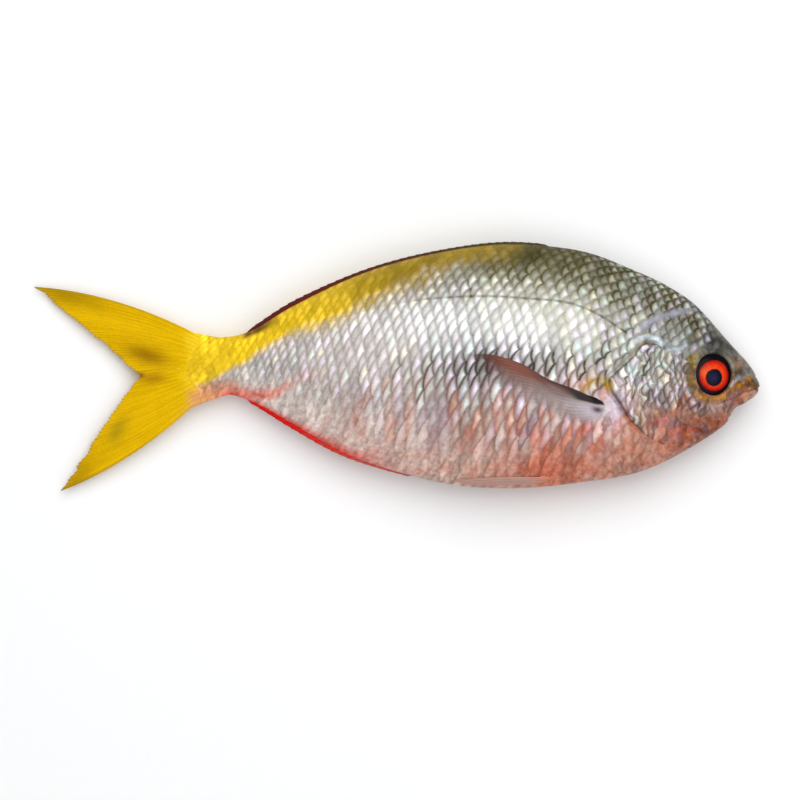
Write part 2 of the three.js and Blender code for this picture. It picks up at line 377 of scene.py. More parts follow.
# ==================================== Scales ====================================
def nearest_scale(a, b, seed):
    """The scale that shows at lattice place (a, b): where in it, how near its edge, and which."""
    half_length, half_height = SCALE_REACH
    nearby = []
    for row in (np.rint(b) - 1, np.rint(b), np.rint(b) + 1):
        shift = 0.5 * np.mod(row, 2)
        for column in (-1, 0, 1):
            centre = np.floor(a - shift) + column + shift
            da, db = a - centre, b - row
            arc = half_length * np.sqrt(np.maximum(1 - (db / half_height) ** 2, 0))
            nearby.append((centre, row, da, db, arc))
    top = np.full(a.shape, np.inf)
    kept = [np.zeros(a.shape) for _ in range(4)]
    for centre, row, da, db, arc in nearby:
        showing = (np.abs(db) < half_height) & (np.abs(da) < arc) & (centre < top)
        top = np.where(showing, centre, top)
        for store, value in zip(kept, (da, db, row, arc - da)):
            store[...] = np.where(showing, value, store)
    behind = np.full(a.shape, 9.0)  # how far the edge of the scale in front is
    for centre, row, da, db, arc in nearby:
        covering = (np.abs(db) < half_height) & (da >= arc) & (centre < top - 0.01)
        behind = np.where(covering, np.minimum(behind, da - arc), behind)
    da, db, row, edge = kept
    chance = hash01(np.where(np.isfinite(top), top, 0) * 2, row, seed)
    return SimpleNamespace(da=da, db=db, edge=edge, behind=behind, chance=chance)


def another(chance, factor):
    """Another random number from 0 to 1 for each scale."""
    return np.mod(chance * factor, 1)


def scale_height(scale):
    """Height of the scales in steps: each is a tilted, slightly domed plate with a thin edge."""
    tilt_along = (scale.chance - 0.5) * 0.5
    tilt_up = (another(scale.chance, 7.13) - 0.5) * 0.5
    height = (scale.da - 0.3) * (1 + tilt_along) + scale.db * tilt_up * 0.5 - 0.12 * scale.db**2
    return height - 0.35 * bump_at(scale.edge, 0.07)


def scale_field(a, b, seed):
    """The scale at each place, with its height averaged over a few places close by."""
    nudges = [(0, 0), (0.04, 0.03), (-0.04, 0.04), (0.03, -0.05), (-0.03, -0.03)]
    nudges = nudges
    heights = [scale_height(nearest_scale(a + ja, b + jb, seed)) for ja, jb in nudges]
    scale = nearest_scale(a, b, seed)
    scale.height = sum(heights) / len(nudges)
    return scale


# ==================================== Meshes ====================================
def make_mesh(name, points, quads, triangles=()):
    """A smooth mesh object from arrays of points and faces."""
    mesh = bpy.data.meshes.new(name)
    quads, triangles = np.asarray(quads, np.int32), np.asarray(triangles, np.int32)
    loops = np.concatenate([quads.ravel(), triangles.ravel()])
    sizes = np.concatenate([np.full(len(quads), 4), np.full(len(triangles), 3)])
    mesh.vertices.add(len(points))
    mesh.vertices.foreach_set("co", np.asarray(points, np.float32).ravel())
    mesh.loops.add(len(loops))
    mesh.loops.foreach_set("vertex_index", loops.astype(np.int32))
    mesh.polygons.add(len(sizes))
    starts = np.concatenate([[0], np.cumsum(sizes)[:-1]])
    mesh.polygons.foreach_set("loop_start", starts.astype(np.int32))
    mesh.polygons.foreach_set("use_smooth", np.full(len(sizes), True))
    mesh.update(calc_edges=True)
    mesh.validate()
    piece = bpy.data.objects.new(name, mesh)
    bpy.context.scene.collection.objects.link(piece)
    return piece


def add_values(piece, **fields):
    """Stores numbers or vectors on the points of a piece, for its material to read."""
    for name, values in fields.items():
        values = np.asarray(values, np.float32)
        is_vector = values.ndim > 1
        kind, key = ("FLOAT_VECTOR", "vector") if is_vector else ("FLOAT", "value")
        attribute = piece.data.attributes.new(name, kind, "POINT")
        attribute.data.foreach_set(key, values.ravel())


def add_uv(piece, corner_uv):
    layer = piece.data.uv_layers.new(name="OFBake")
    layer.data.foreach_set("uv", np.asarray(corner_uv, np.float32).ravel())


def attach(piece, material, slot, *nodes):
    piece.data.materials.append(material)
    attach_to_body(piece, "root")
    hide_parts(*nodes)
    return piece


def wrap_evenly(ring, turn):
    """Texture places for a closed mesh of rings: along it, and round it."""
    return np.stack([0.01 + 0.98 * ring / ring.max(), 0.01 + 0.98 * turn], -1)


def ring_mesh(
    name, rings, tips, fields, wrap=wrap_evenly, cap_uv=((0, 0), (0.004, 0), (0.004, 0.004))
):
    """A closed mesh through rings of points with a tip at each end, and values for its material.

    wrap turns the number of a ring and the share of the way round it into texture places.
    """
    count, around = rings.shape[:2]
    i, j = np.meshgrid(np.arange(count - 1), np.arange(around), indexing="ij")
    ring = np.stack([i, i + 1, i + 1, i], -1).reshape(-1, 4)
    turn = np.stack([j, j, j + 1, j + 1], -1).reshape(-1, 4)
    here = np.arange(around)
    after = (here + 1) % around
    first, last = count * around, (count - 1) * around
    caps = np.concatenate([
        np.stack([np.full(around, first), here, after], 1),
        np.stack([np.full(around, first + 1), last + after, last + here], 1),
    ])
    points = np.concatenate([rings.reshape(-1, 3), tips])
    piece = make_mesh(name, points, ring * around + turn % around, caps)
    quad_uv = wrap(ring, turn / around).reshape(-1, 2)
    add_uv(piece, np.concatenate([quad_uv, np.tile(cap_uv, (len(caps), 1))]))
    for key, values in fields.items():
        flat = values.reshape((-1,) + values.shape[2:])
        ends = np.stack([values[0].mean(0), values[-1].mean(0)])
        add_values(piece, **{key: np.concatenate([flat, ends])})
    return piece


# ==================================== Materials ====================================
class Nodes:
    """Builds a node material with short calls; sockets and plain numbers mix freely."""

    def __init__(self, name):
        self.material = bpy.data.materials.new(name)
        self.material.use_nodes = True
        self.tree = self.material.node_tree
        self.tree.nodes.clear()

    def add(self, kind, settings=(), **inputs):
        node = self.tree.nodes.new(kind)
        for key, value in dict(settings).items():
            setattr(node, key, value)
        for key, value in inputs.items():
            socket = node.inputs[int(key[1:])] if key[0] == "i" and key[1:].isdigit() else None
            self.join(socket or node.inputs[key.replace("_", " ")], value)
        return node

    def join(self, socket, value):
        if isinstance(value, bpy.types.NodeSocket):
            self.tree.links.new(value, socket)
        elif hasattr(socket.default_value, "__len__") and len(socket.default_value) == 4:
            socket.default_value = (*value[:3], 1)
        else:
            socket.default_value = value

    def attribute(self, name, kind="Fac"):
        return self.add("ShaderNodeAttribute", {"attribute_name": name}).outputs[kind]

    def math(self, operation, a, b=0.0, clamp=False):
        settings = {"operation": operation, "use_clamp": clamp}
        return self.add("ShaderNodeMath", settings, i0=a, i1=b).outputs[0]

    def mix(self, share, a, b, blend="MIX"):
        node = self.tree.nodes.new("ShaderNodeMix")
        node.data_type, node.blend_type = "RGBA", blend
        for index, value in ((0, share), (6, a), (7, b)):
            self.join(node.inputs[index], value)
        return node.outputs[2]

    def blend_numbers(self, share, a, b):
        """a where share is 0 and b where it is 1."""
        return self.add("ShaderNodeMapRange", i0=share, i3=a, i4=b).outputs[0]

    def noise(self, size, detail=3.0, roughness=0.6):
        """Noise whose blotches are about size millimetres across."""
        place = self.add("ShaderNodeTexCoord").outputs["Object"]
        return self.add(
            "ShaderNodeTexNoise", Vector=place, Scale=1 / (size * MM), Detail=detail,
            Roughness=roughness, Distortion=0.0,
        ).outputs[0]

    def shaded(self, tone, shade):
        """A colour made darker or lighter by a number."""
        grey = self.add("ShaderNodeCombineColor", i0=shade, i1=shade, i2=shade).outputs[0]
        return self.mix(1.0, tone, grey, "MULTIPLY")

    def finish(self, **shader):
        normal = shader.pop("Normal", None)
        surface = self.add("ShaderNodeBsdfPrincipled", **shader)
        if normal is not None:
            self.join(surface.inputs["Normal"], normal)
        output = self.tree.nodes.new("ShaderNodeOutputMaterial")
        self.tree.links.new(surface.outputs[0], output.inputs[0])
        return self.material

    def bump(self, height, strength, distance_mm):
        return self.add(
            "ShaderNodeBump", Height=height, Strength=strength, Distance=distance_mm * MM
        ).outputs[0]


# ==================================== Skin colours ====================================
SILVER = srgb(216, 218, 216)
SILVER_WARM = srgb(188, 178, 171)
SILVER_DULL = srgb(164, 156, 150)
SHOULDER = srgb(184, 183, 176)
DUSK = srgb(92, 74, 68)
OLIVE = srgb(66, 60, 4)
OLIVE_GREY = srgb(118, 114, 72)
GREY = srgb(186, 184, 174)
SNOUT = srgb(84, 64, 40)
SAGE = srgb(162, 158, 116)
SLATE = srgb(134, 133, 124)
YELLOW = srgb(252, 208, 1)
MUSTARD = srgb(150, 124, 0)
ROSE = srgb(214, 178, 166)
ROSE_DEEP = srgb(206, 166, 150)
ROSE_PALE = srgb(226, 212, 202)
SALMON = srgb(192, 134, 112)
CORAL = srgb(200, 104, 72)
CORAL_PALE = srgb(214, 158, 132)
APRICOT = srgb(224, 164, 100)
BRICK = srgb(172, 98, 78)
CREST = srgb(70, 64, 8)
MAROON = srgb(66, 8, 10)
STREAK = srgb(226, 104, 76)
SCARLET = srgb(226, 40, 26)
HALO = srgb(108, 92, 62)
MOSS = srgb(84, 76, 12)
OCHRE = srgb(168, 130, 2)
RUDDY = srgb(146, 72, 54)
# Colours of the painted highlights in the middle of the scales.
PEARL_LILAC = srgb(238, 228, 252)
PEARL_MINT = srgb(220, 248, 244)
PEARL_CREAM = srgb(252, 246, 224)

ZONE_DEPTH = 0.36  # how much a step across the fish counts against a step along it

# Broad zones of the skin: s, t, how far each reaches (in s), and its colour.
SKIN_ZONES = [
    (0.02, 0.50, 0.035, SNOUT), (0.07, 0.95, 0.07, SLATE), (0.16, 0.95, 0.07, SLATE),
    (0.25, 0.99, 0.07, OLIVE_GREY), (0.33, 1.0, 0.065, OLIVE), (0.42, 1.0, 0.07, OLIVE),
    (0.22, 0.80, 0.07, GREY), (0.32, 0.84, 0.05, SAGE), (0.42, 0.86, 0.045, SAGE),
    (0.30, 0.72, 0.06, SHOULDER), (0.40, 0.70, 0.07, SILVER), (0.50, 0.68, 0.07, SILVER),
    (0.60, 0.66, 0.07, SILVER), (0.70, 0.60, 0.07, SILVER_WARM), (0.80, 0.55, 0.06, SILVER_WARM),
    (0.52, 0.86, 0.05, SILVER_DULL), (0.62, 0.80, 0.05, SILVER_DULL),
    (0.53, 0.50, 0.05, DUSK), (0.47, 0.49, 0.045, DUSK), (0.62, 0.44, 0.05, ROSE_PALE),
    (0.70, 0.42, 0.06, ROSE_PALE), (0.80, 0.30, 0.04, ROSE_PALE), (0.87, 0.20, 0.03, ROSE_PALE),
    (0.94, 0.15, 0.02, CORAL_PALE), (0.99, 0.10, 0.02, APRICOT), (0.86, 0.58, 0.03, SILVER_DULL),
    (0.92, 0.38, 0.02, ROSE_PALE), (0.33, 1.0, 0.04, OLIVE), (0.47, 0.90, 0.03, SAGE),
    (0.77, 0.25, 0.06, ROSE_PALE), (0.70, 0.16, 0.05, ROSE), (0.62, 0.20, 0.06, ROSE),
    (0.52, 0.20, 0.06, ROSE_DEEP), (0.50, 0.06, 0.05, ROSE_DEEP), (0.40, 0.08, 0.05, CORAL),
    (0.34, 0.10, 0.04, CORAL), (0.27, 0.26, 0.03, CORAL),
    (0.30, 0.20, 0.05, SALMON), (0.22, 0.12, 0.06, SALMON), (0.12, 0.12, 0.05, BRICK),
    (0.20, 0.45, 0.05, GREY), (0.13, 0.35, 0.04, SALMON), (0.06, 0.20, 0.04, SALMON),
    (0.38, 0.40, 0.05, SILVER_DULL), (0.34, 0.30, 0.04, ROSE),
]

# The yellow reaches down from the back to this line, as (s, t).
YELLOW_EDGE = [
    (0.36, 1.10), (0.42, 0.98), (0.509, 0.915), (0.58, 0.88), (0.636, 0.845), (0.687, 0.80),
    (0.737, 0.765), (0.81, 0.735), (0.85, 0.73), (0.879, 0.68), (0.909, 0.52), (0.94, 0.38),
    (0.976, 0.26), (1.0, 0.22),
]

# A coral streak runs forward from the tail along this line, as (s, t).
REAR_STREAK = [(0.76, 0.45), (0.807, 0.40), (0.842, 0.27), (0.895, 0.10), (0.948, 0.08), (1.0, 0.2)]

# Scales of the lower flank are touched with one of these, by chance: lowest share, colour.
MOTLEY = [
    (0.0, srgb(206, 112, 78)), (0.25, srgb(156, 146, 168)),
    (0.5, srgb(232, 222, 214)), (0.75, srgb(136, 96, 84)),
]
MOTLEY_SHARE = 0.25  # of the scales takes each

# Dabs of colour on the head: forward, above, half length, half height (mm), turn, colour, strength.
HEAD_DABS = [
    (-43.5, -13.5, 7.5, 8.0, 0, srgb(214, 200, 212), 0.85),
    (-38.5, -7.0, 1.6, 4.0, 25, srgb(226, 214, 226), 0.7),
    (-52.0, -21.5, 6.0, 1.8, 14, srgb(206, 74, 52), 0.6),
    (0.0, 13.0, 9.0, 4.6, -12, srgb(58, 60, 64), 0.9),
    (1.0, 12.4, 1.6, 1.0, 60, srgb(160, 164, 170), 0.5),
    (-9.9, 5.6, 2.2, 3.4, -20, srgb(156, 130, 14), 0.95),
    (-10.3, -2.2, 2.0, 3.0, 20, srgb(180, 142, 8), 0.95),
    (-14.6, -2.0, 1.6, 1.6, 0, srgb(176, 150, 70), 0.6),
    (-24.5, -9.0, 5.0, 3.4, 40, srgb(96, 90, 88), 0.55),
    (-19.5, -13.5, 4.5, 2.6, 40, srgb(112, 92, 78), 0.55),
    (-30.0, -3.0, 4.0, 3.2, 0, srgb(222, 226, 236), 0.45),
    (-36.5, 0.5, 3.0, 3.0, 40, srgb(216, 222, 236), 0.55),
    (-14.4, -7.4, 2.0, 1.5, 0, srgb(208, 212, 224), 0.8),
    (-10.4, -6.0, 1.5, 1.0, 0, srgb(206, 212, 220), 0.7),
    (-12.4, -9.7, 1.7, 2.2, -30, srgb(214, 122, 18), 0.9),
    (-15.6, -13.0, 1.5, 2.4, -20, srgb(210, 104, 26), 0.85),
    (-24.7, -9.2, 0.8, 2.4, 15, srgb(52, 48, 48), 0.75),
    (-23.0, -2.5, 0.7, 1.6, 25, srgb(88, 84, 78), 0.5),
    (-21.4, -17.9, 3.0, 2.4, 20, srgb(196, 96, 88), 0.7),
    (-16.9, -20.2, 3.4, 2.2, 10, srgb(104, 62, 84), 0.6),
    (-25.0, -20.0, 4.0, 2.4, -40, srgb(206, 120, 104), 0.5),
    (-34.5, -19.0, 1.5, 4.5, 40, srgb(214, 110, 70), 0.7),
    (-12.0, -24.0, 8.0, 2.8, 12, srgb(196, 88, 70), 0.6),
    (-2.0, -20.5, 8.0, 3.0, 14, srgb(170, 84, 70), 0.6),
    (-1.0, -13.5, 9.5, 2.8, 12, srgb(186, 160, 162), 0.7),
    (-4.5, -11.4, 4.0, 1.8, 0, srgb(126, 116, 120), 0.6),
    (8.2, -8.6, 4.0, 1.3, 26, srgb(176, 122, 140), 0.65),
    (11.5, -9.8, 4.6, 1.2, 24, srgb(206, 116, 84), 0.7),
    (16.0, -9.0, 3.2, 2.2, 30, srgb(204, 188, 180), 0.7),
    (10.8, 4.4, 3.4, 2.2, -40, srgb(180, 134, 110), 0.65),
    (8.4, 7.4, 1.6, 1.3, 0, srgb(96, 80, 84), 0.5),
    (15.0, 2.6, 3.4, 1.4, -45, srgb(144, 146, 132), 0.5),
    (17.6, -1.6, 1.6, 2.6, 20, srgb(120, 116, 112), 0.75),
    (16.1, -2.4, 0.9, 1.3, 0, srgb(50, 46, 46), 0.8),
    (-16.0, 8.0, 4.0, 2.4, 0, srgb(150, 144, 142), 0.5),
    (-10.0, 11.0, 4.0, 1.8, 10, srgb(168, 160, 166), 0.55),
]

# Brush lines on the head: their points, half width (mm), colour and strength.
HEAD_LINES = [
    (CROWN_LINE, 1.1, srgb(196, 212, 222), 0.9), (NAPE_LINE, 1.5, srgb(168, 168, 192), 0.8),
    ([(-33.0, 15.4), (-27.0, 17.6), (-20.0, 15.0)], 0.7, srgb(96, 92, 84), 0.5),
    (BROW_LINE, 0.9, srgb(74, 74, 76), 0.6),
    # The dark gill lines below are the gill cover's dark margin and painted shade in the groove
    # under its edge.
    (GILL_EDGE[:16], 0.9, srgb(66, 54, 42), 0.9),
    (GILL_EDGE[2:6], 0.9, srgb(128, 104, 30), 0.6),
    (GILL_EDGE[9:17], 1.3, srgb(104, 58, 34), 0.6),
    ([(-54.4, -5.5), (-50.0, -2.6), (-46.5, -2.4), (-43.8, -4.8)], 2.0, srgb(196, 160, 2), 1.0),
    ([(5.3, -6.9), (9.0, -4.9), (11.1, -3.7), (14.8, -1.1)], 1.1, srgb(216, 142, 14), 0.9),
    ([(6.6, -4.0), (8.4, -2.2), (10.4, -0.4)], 0.8, srgb(214, 212, 228), 0.8),
    ([(11.2, 0.6), (13.4, 2.0), (15.0, 3.4)], 0.9, srgb(92, 92, 112), 0.75),
    ([(11.6, -1.2), (13.4, 0.0), (15.2, 0.6)], 0.6, srgb(196, 190, 184), 0.55),
    ([(-7.4, -7.5), (-4.9, -9.0), (-1.8, -9.7), (1.4, -9.6), (4.6, -8.6)], 0.8,
     srgb(206, 146, 12), 0.9),
]


def skin_colour(s, t, x, y, girth):
    """The pigment of the skin, before its scales: one linear colour for each point."""
    weight_sum = np.zeros(s.shape)
    colour = np.zeros(s.shape + (3,))
    for zone_s, zone_t, reach, tone in SKIN_ZONES:
        away = ((s - zone_s) / reach) ** 2 + ((t - zone_t) * ZONE_DEPTH / reach) ** 2
        weight = np.exp(-0.5 * away) + 1e-9 / (0.01 + away)
        weight_sum += weight
        colour += weight[..., None] * tone
    colour /= weight_sum[..., None]

    crest = smoothstep(0.82, 0.97, t) * bump_at(s - 0.41, 0.14)
    colour = toward(colour, CREST, 0.85 * crest)
    ragged = 0.035 * cloud(x / 3.2, girth / 3.2, 5) + 0.03 * cloud(x / 14, girth / 14, 9)
    yellow = smoothstep(-0.07, 0.09, t - curve_at(YELLOW_EDGE, s) + ragged)
    yellow *= smoothstep(0.36, 0.46, s)
    tone = toward(YELLOW, MUSTARD, smoothstep(0.90, 0.60, s))
    colour = toward(colour, tone, 0.96 * yellow)

    fold = smoothstep(0.83, 0.88, s) * smoothstep(0.92, 0.90, s)
    colour = toward(colour, MAROON, 0.9 * fold * smoothstep(0.89, 0.96, t + 0.4 * ragged))
    streak_width = 0.03 + 0.07 * smoothstep(0.80, 0.93, s)
    streak = bump_at((t - curve_at(REAR_STREAK, s) + ragged) / streak_width, 1)
    streak *= smoothstep(0.74, 0.85, s) * (1 - yellow)
    streak *= 0.2 + 0.2 * smoothstep(0.98, 0.92, s) + 0.5 * bump_at(s - 0.88, 0.05)
    colour = toward(colour, STREAK, streak)
    flush = bump_at(t, 0.045) * smoothstep(0.60, 0.74, s) * smoothstep(0.965, 0.93, s)
    colour = toward(colour, SCARLET, 0.9 * flush)

    halo = 0.55 * bump_at(np.hypot(x, y) - 9.8, 1.7) * (0.7 + 0.6 * cloud(x / 2.5, y / 2.5, 17))
    colour = toward(colour, HALO, np.clip(halo, 0, 1))
    for *oval, tone, strength in HEAD_DABS:
        colour = toward(colour, tone, strength * np.exp(-0.8 * turned_oval(x, y, *oval) ** 1.5))
    near = (x > -60) & (np.abs(y) < 45)
    for points, width, tone, strength in HEAD_LINES:
        distance, _ = line_distance(x[near], y[near], points, 40)
        wavy = distance + 0.7 * cloud(x[near] / 1.8, y[near] / 1.8, 19)
        patchy = 0.85 + 0.45 * cloud(x[near] / 3, y[near] / 3, 23)
        share = np.clip(strength * bump_at(wavy, width) * patchy, 0, 1)
        colour[near] = toward(colour[near], tone, share)
    return colour, yellow


# ==================================== Relief of the skin ====================================
HEAD_END = -62  # the head's relief ends this far from the eye, in millimetres
SOCKET_DEPTH = 4.2
SOCKET_REACH = (8.1, 6.9)  # the socket's wall runs from one distance to the other
NOSTRILS = [(9.6, 6.6, 0.9, 0.8), (12.6, 4.6, 0.7, 0.6)]  # forward, above, radius, depth


def fade_ends(share, start, end):
    """0 at both ends of a line and 1 between, with the given shares of it taken up by each fade."""
    return smoothstep(0, start, share) * smoothstep(1, 1 - end, share)


def head_relief(x, y):
    """Raised and sunk features of the head in millimetres, and where its scales grow."""
    gill, share = line_distance(x, y, GILL_EDGE)
    gill_fade = smoothstep(0, 0.07, share) * smoothstep(0.92, 0.70, share)
    relief = gill_fade * smoothstep(-0.25, 0.35, gill) * np.exp(-np.maximum(gill, 0) / 8)
    relief -= gill_fade * 0.7 * bump_at(gill + 0.7, 0.8)
    cheek, share = line_distance(x, y, CHEEK_EDGE)
    step = 0.4 * smoothstep(-0.3, 0.3, cheek) * np.exp(-np.maximum(cheek, 0) / 4)
    relief += fade_ends(share, 0.12, 0.15) * (step - 0.2 * bump_at(cheek + 0.5, 0.5))

    mouth, share = line_distance(x, y, MOUTH_LINE)
    relief -= 0.9 * bump_at(mouth, 0.45) * (1 - 0.75 * share)
    relief += 0.35 * bump_at(np.abs(mouth) - 1.3, 0.8) * smoothstep(1, 0.7, share)
    lip, share = line_distance(x, y, LIP_LINE)
    relief -= 0.4 * bump_at(lip, 0.45) * smoothstep(1, 0.8, share)
    brow, share = line_distance(x, y, BROW_LINE)
    relief += 0.3 * bump_at(brow - 0.8, 1.6) * smoothstep(0, 0.2, share)
    chin, share = line_distance(x, y, CHIN_LINE)
    relief -= 0.4 * bump_at(chin, 0.6) * smoothstep(1, 0.7, share)
    for forward, above, radius, depth in NOSTRILS:
        relief -= depth * smoothstep(radius, radius * 0.35, np.hypot(x - forward, y - above))
    front_forward, front_above = NOSTRILS[0][:2]
    relief += 0.2 * bump_at(np.hypot(x - front_forward, y - front_above) - 1.1, 0.5)

    from_eye = np.hypot(x * 1.05, (y - 0.5) * 0.88)
    relief -= SOCKET_DEPTH * smoothstep(*SOCKET_REACH, from_eye)
    relief += 0.45 * bump_at(from_eye - 9.0, 0.9) - 0.15 * bump_at(from_eye - 11.2, 0.8)

    scaly = smoothstep(10.8, 13.0, from_eye) * smoothstep(3, -4, x)
    throat = smoothstep(-14, -18, y + 0.15 * x) * smoothstep(-32, -24, x)
    armpit = np.exp(-(((x + 43.0) / 6.0) ** 2 + ((y + 12.5) / 7.5) ** 2) ** 2)
    scaly *= (1 - throat) * (1 - armpit)
    scaly *= 1 - 0.85 * bump_at(gill + 0.8, 1.0) * gill_fade
    for line in (NAPE_LINE, CROWN_LINE):
        away, share = line_distance(x, y, line, 40)
        soft = bump_at(away, 1.3) * fade_ends(share, 0.1, 0.1)
        scaly *= 1 - 0.85 * soft
        relief += 0.12 * soft - 0.14 * bump_at(np.abs(away) - 1.6, 0.5) * (soft > 0.02)
    on_cheek = (gill > 0) & (x > -45) & (y < 13)
    return relief, scaly, on_cheek


def skin_places(points):
    """Where each point of one side's grid is, as shares of the fish and in mm from its landmarks."""
    x, y = points[..., 0], points[..., 1]
    (back, belly, _, _), _, _ = sections(points[:, 0, 0])
    s = (SNOUT_X - x) / BODY_LENGTH
    t = np.clip((y - belly[:, None]) / (back - belly)[:, None], 0, 1)
    steps = np.linalg.norm(np.diff(points, axis=1), axis=2)
    girth = np.concatenate([np.zeros((len(points), 1)), np.cumsum(steps, axis=1)], axis=1)
    line_t = curve_at(LATERAL_LINE, s[:, 0])
    on_line = np.array([np.interp(-lt, -row, g) for lt, row, g in zip(line_t, t, girth)])
    above_line = (on_line[:, None] - girth) / MM
    return SimpleNamespace(s=s, t=t, x=(x - EYE[0]) / MM, y=(y - EYE[1]) / MM, above=above_line)


def patches(at, size, seed, tall=None):
    """Random patches on the skin, about size millimetres across, from about -1 to 1."""
    return cloud(at.x / size, at.above / (tall or size), seed)


def lay_scales(at, points, on_cheek, seed):
    """The scale at each point of one side, and its size against a scale of the middle flank."""
    pitch, row = curve_at(SCALE_PITCH, at.s[:, 0]), curve_at(SCALE_ROW, at.s[:, 0])
    travelled = np.concatenate([[0], np.cumsum(-np.diff(points[:, 0, 0]) / MM / pitch[1:])])
    wander = 0.16 * patches(at, 13, seed + 3) + 0.10 * patches(at, 4, seed + 4)
    a = travelled[:, None] + SCALE_LEAN * at.above / pitch[:, None] + wander
    b = ROW_GROWTH * (np.exp(at.above / ROW_GROWTH) - 1) / row[:, None]
    b += 0.14 * patches(at, 17, seed + 5)
    jostle_a = 0.8 * cloud(at.x / 6, at.y / 6, seed + 12)
    jostle_b = 0.7 * cloud(at.x / 5, at.y / 5, seed + 15)
    a = np.where(on_cheek, a * CHEEK_SCALE - 0.2 * b + jostle_a, a)
    b = np.where(on_cheek, b * CHEEK_SCALE * 0.9 + jostle_b, b)
    scale = scale_field(a, b, seed)
    scale.dashes = 0.7 + 0.3 * np.sin(a * 2 * np.pi)
    scale.size = (pitch / 4.5)[:, None] * np.where(on_cheek, 0.75, 1.0)
    return scale


def regions(s, t):
    """The parts of the flank that look different, each as a share from 0 to 1."""
    return SimpleNamespace(
        dark_back=smoothstep(0.76, 0.86, t) * smoothstep(0.02, 0.1, s),
        band=bump_at(t - 0.68, 0.13) * smoothstep(0.22, 0.34, s),
        shoulder=smoothstep(0.40, 0.26, s) * smoothstep(0.40, 0.55, t),
        lower=smoothstep(0.50, 0.37, t),
        rear=smoothstep(0.50, 0.75, s),
        smoke=bump_at(t - 0.52, 0.07) * bump_at(s - 0.44, 0.13),
        mossy=smoothstep(0.70, 0.80, t) * smoothstep(0.04, 0.16, s),
        olive=smoothstep(0.74, 0.90, t) * bump_at(s - 0.40, 0.20),
        face_side=s < 0.24,
    )


def scale_gaps_and_shadow(t, part, scale, yellow, on_cheek):
    """How dark the net between the scales is: dark skin in the gaps, and painted shadow just behind
    the edge of each scale in front.
    """
    thick = another(scale.chance, 3.7)
    gap = bump_at(scale.behind - 0.04, 0.14 + (0.10 + 0.14 * part.dark_back) * thick)
    gap = np.maximum(0.7 * bump_at(scale.edge, 0.10), gap * (0.75 + 0.4 * thick))
    net = 0.46 + 0.34 * part.dark_back + 0.16 * part.shoulder - 0.34 * part.band
    net += 0.26 * bump_at(t - 0.44, 0.14) + 0.5 * part.smoke
    net *= (1 - 0.45 * part.rear) * (1 - 0.35 * yellow)
    net = np.where(on_cheek, 0.75, net) - 0.14 * smoothstep(0.3, 0.12, t)
    return np.clip(gap * net * (0.6 + 0.8 * another(scale.chance, 17.9)), 0, 1)


def scale_glint(t, part, scale, yellow, on_cheek):
    """How strongly each scale's painted highlight, a pearly glint, shows in its middle."""
    glint = 0.34 + 0.46 * part.dark_back + 0.36 * on_cheek + 0.36 * bump_at(t - 0.45, 0.2)
    glint += 0.3 * part.shoulder
    glint = glint * (1 - 0.3 * yellow) * (1 - 0.45 * smoothstep(0.3, 0.1, t))
    return glint * (0.30 + 1.35 * scale.chance)


def painted_glint_colour(t, part, scale, yellow, pigment):
    """The colour of each scale's painted highlight: its pigment made brighter, and a pearl colour by
    chance.
    """
    pick = another(scale.chance, 13.7)
    pearl = toward(PEARL_LILAC, PEARL_MINT, smoothstep(0.3, 0.7, pick))
    pearl = toward(pearl, PEARL_CREAM, smoothstep(0.78, 0.86, pick))
    pearly = (0.8 - 0.74 * part.olive - 0.6 * smoothstep(0.36, 0.14, t)) * (1 - 0.95 * yellow)
    return toward(pigment * 1.5 + 0.02 * (1 - yellow[..., None]), pearl, pearly)


def mottled(pigment, at, part, scale, scaly, on_cheek, seed):
    """The pigment with each scale's own tone, and the finer marks of bare skin and belly."""
    s, t = at.s, at.t
    bare = 1 - 0.6 * scaly
    dull = on_cheek * smoothstep(0.55, 0.2, another(scale.chance, 9.1))
    smoky = part.smoke * another(scale.chance, 9.1)
    pigment = pigment * (1 - 0.45 * dull - 0.42 * smoky)[..., None]
    face = smoothstep(-16, -8, at.x)
    mottle = 0.30 * patches(at, 1.5, seed + 21) + 0.34 * face * patches(at, 0.8, seed + 22, 1.6)
    pigment = pigment * (1 + bare * mottle)[..., None] * (1 - face[..., None] * FACE_SHADE)
    for size, salt, strength, tone, where in (
        (2.6, 24, 0.5, srgb(206, 132, 70), part.face_side & (t < 0.6)),
        (2.2, 27, 0.45, srgb(150, 150, 160), part.face_side),
    ):
        flecks = np.clip(patches(at, size, seed + salt), 0, 1) * bare * where
        pigment = toward(pigment, tone, strength * flecks)
    blush = smoothstep(0.40, 0.20, t) * smoothstep(0.10, 0.3, s) * smoothstep(0.9, 0.7, s)
    blush *= np.clip(1.5 * patches(at, 5, seed + 30, 4), -1, 1)
    pigment = toward(pigment, srgb(208, 96, 62), 0.40 * np.clip(blush, 0, 1))
    pigment = toward(pigment, srgb(220, 200, 190), 0.40 * np.clip(-blush, 0, 1))
    speckle = patches(at, 1.1, seed + 33, 1.3) * smoothstep(0.5, 0.3, t) * (s > 0.1)
    pigment = pigment * (1 + 0.45 * speckle)[..., None]
    pick = another(scale.chance, 29.3)
    motley = 0.42 * part.lower * smoothstep(0.08, 0.2, t)
    motley *= smoothstep(0.2, 0.3, s) * smoothstep(0.85, 0.6, s)
    for lowest, tone in MOTLEY:
        chosen = (pick > lowest) & (pick < lowest + MOTLEY_SHARE)
        pigment = toward(pigment, tone, motley * chosen)
    return pigment


def gap_and_shadow_colour(s, part, scale, yellow, pigment):
    """What shows between the scales and in their painted shadow: mossy above, yellow at the rear and
    ruddy below.
    """
    tone = toward(pigment * srgb(100, 90, 78), MOSS, 0.65 * part.mossy)
    tone = toward(tone, OCHRE, yellow)
    ruddy = smoothstep(0.25, 0.75, another(scale.chance, 5.3)) * part.lower
    ruddy *= smoothstep(0.12, 0.3, s) * (1 - 0.5 * part.rear)
    return toward(tone, RUDDY, 0.75 * ruddy)


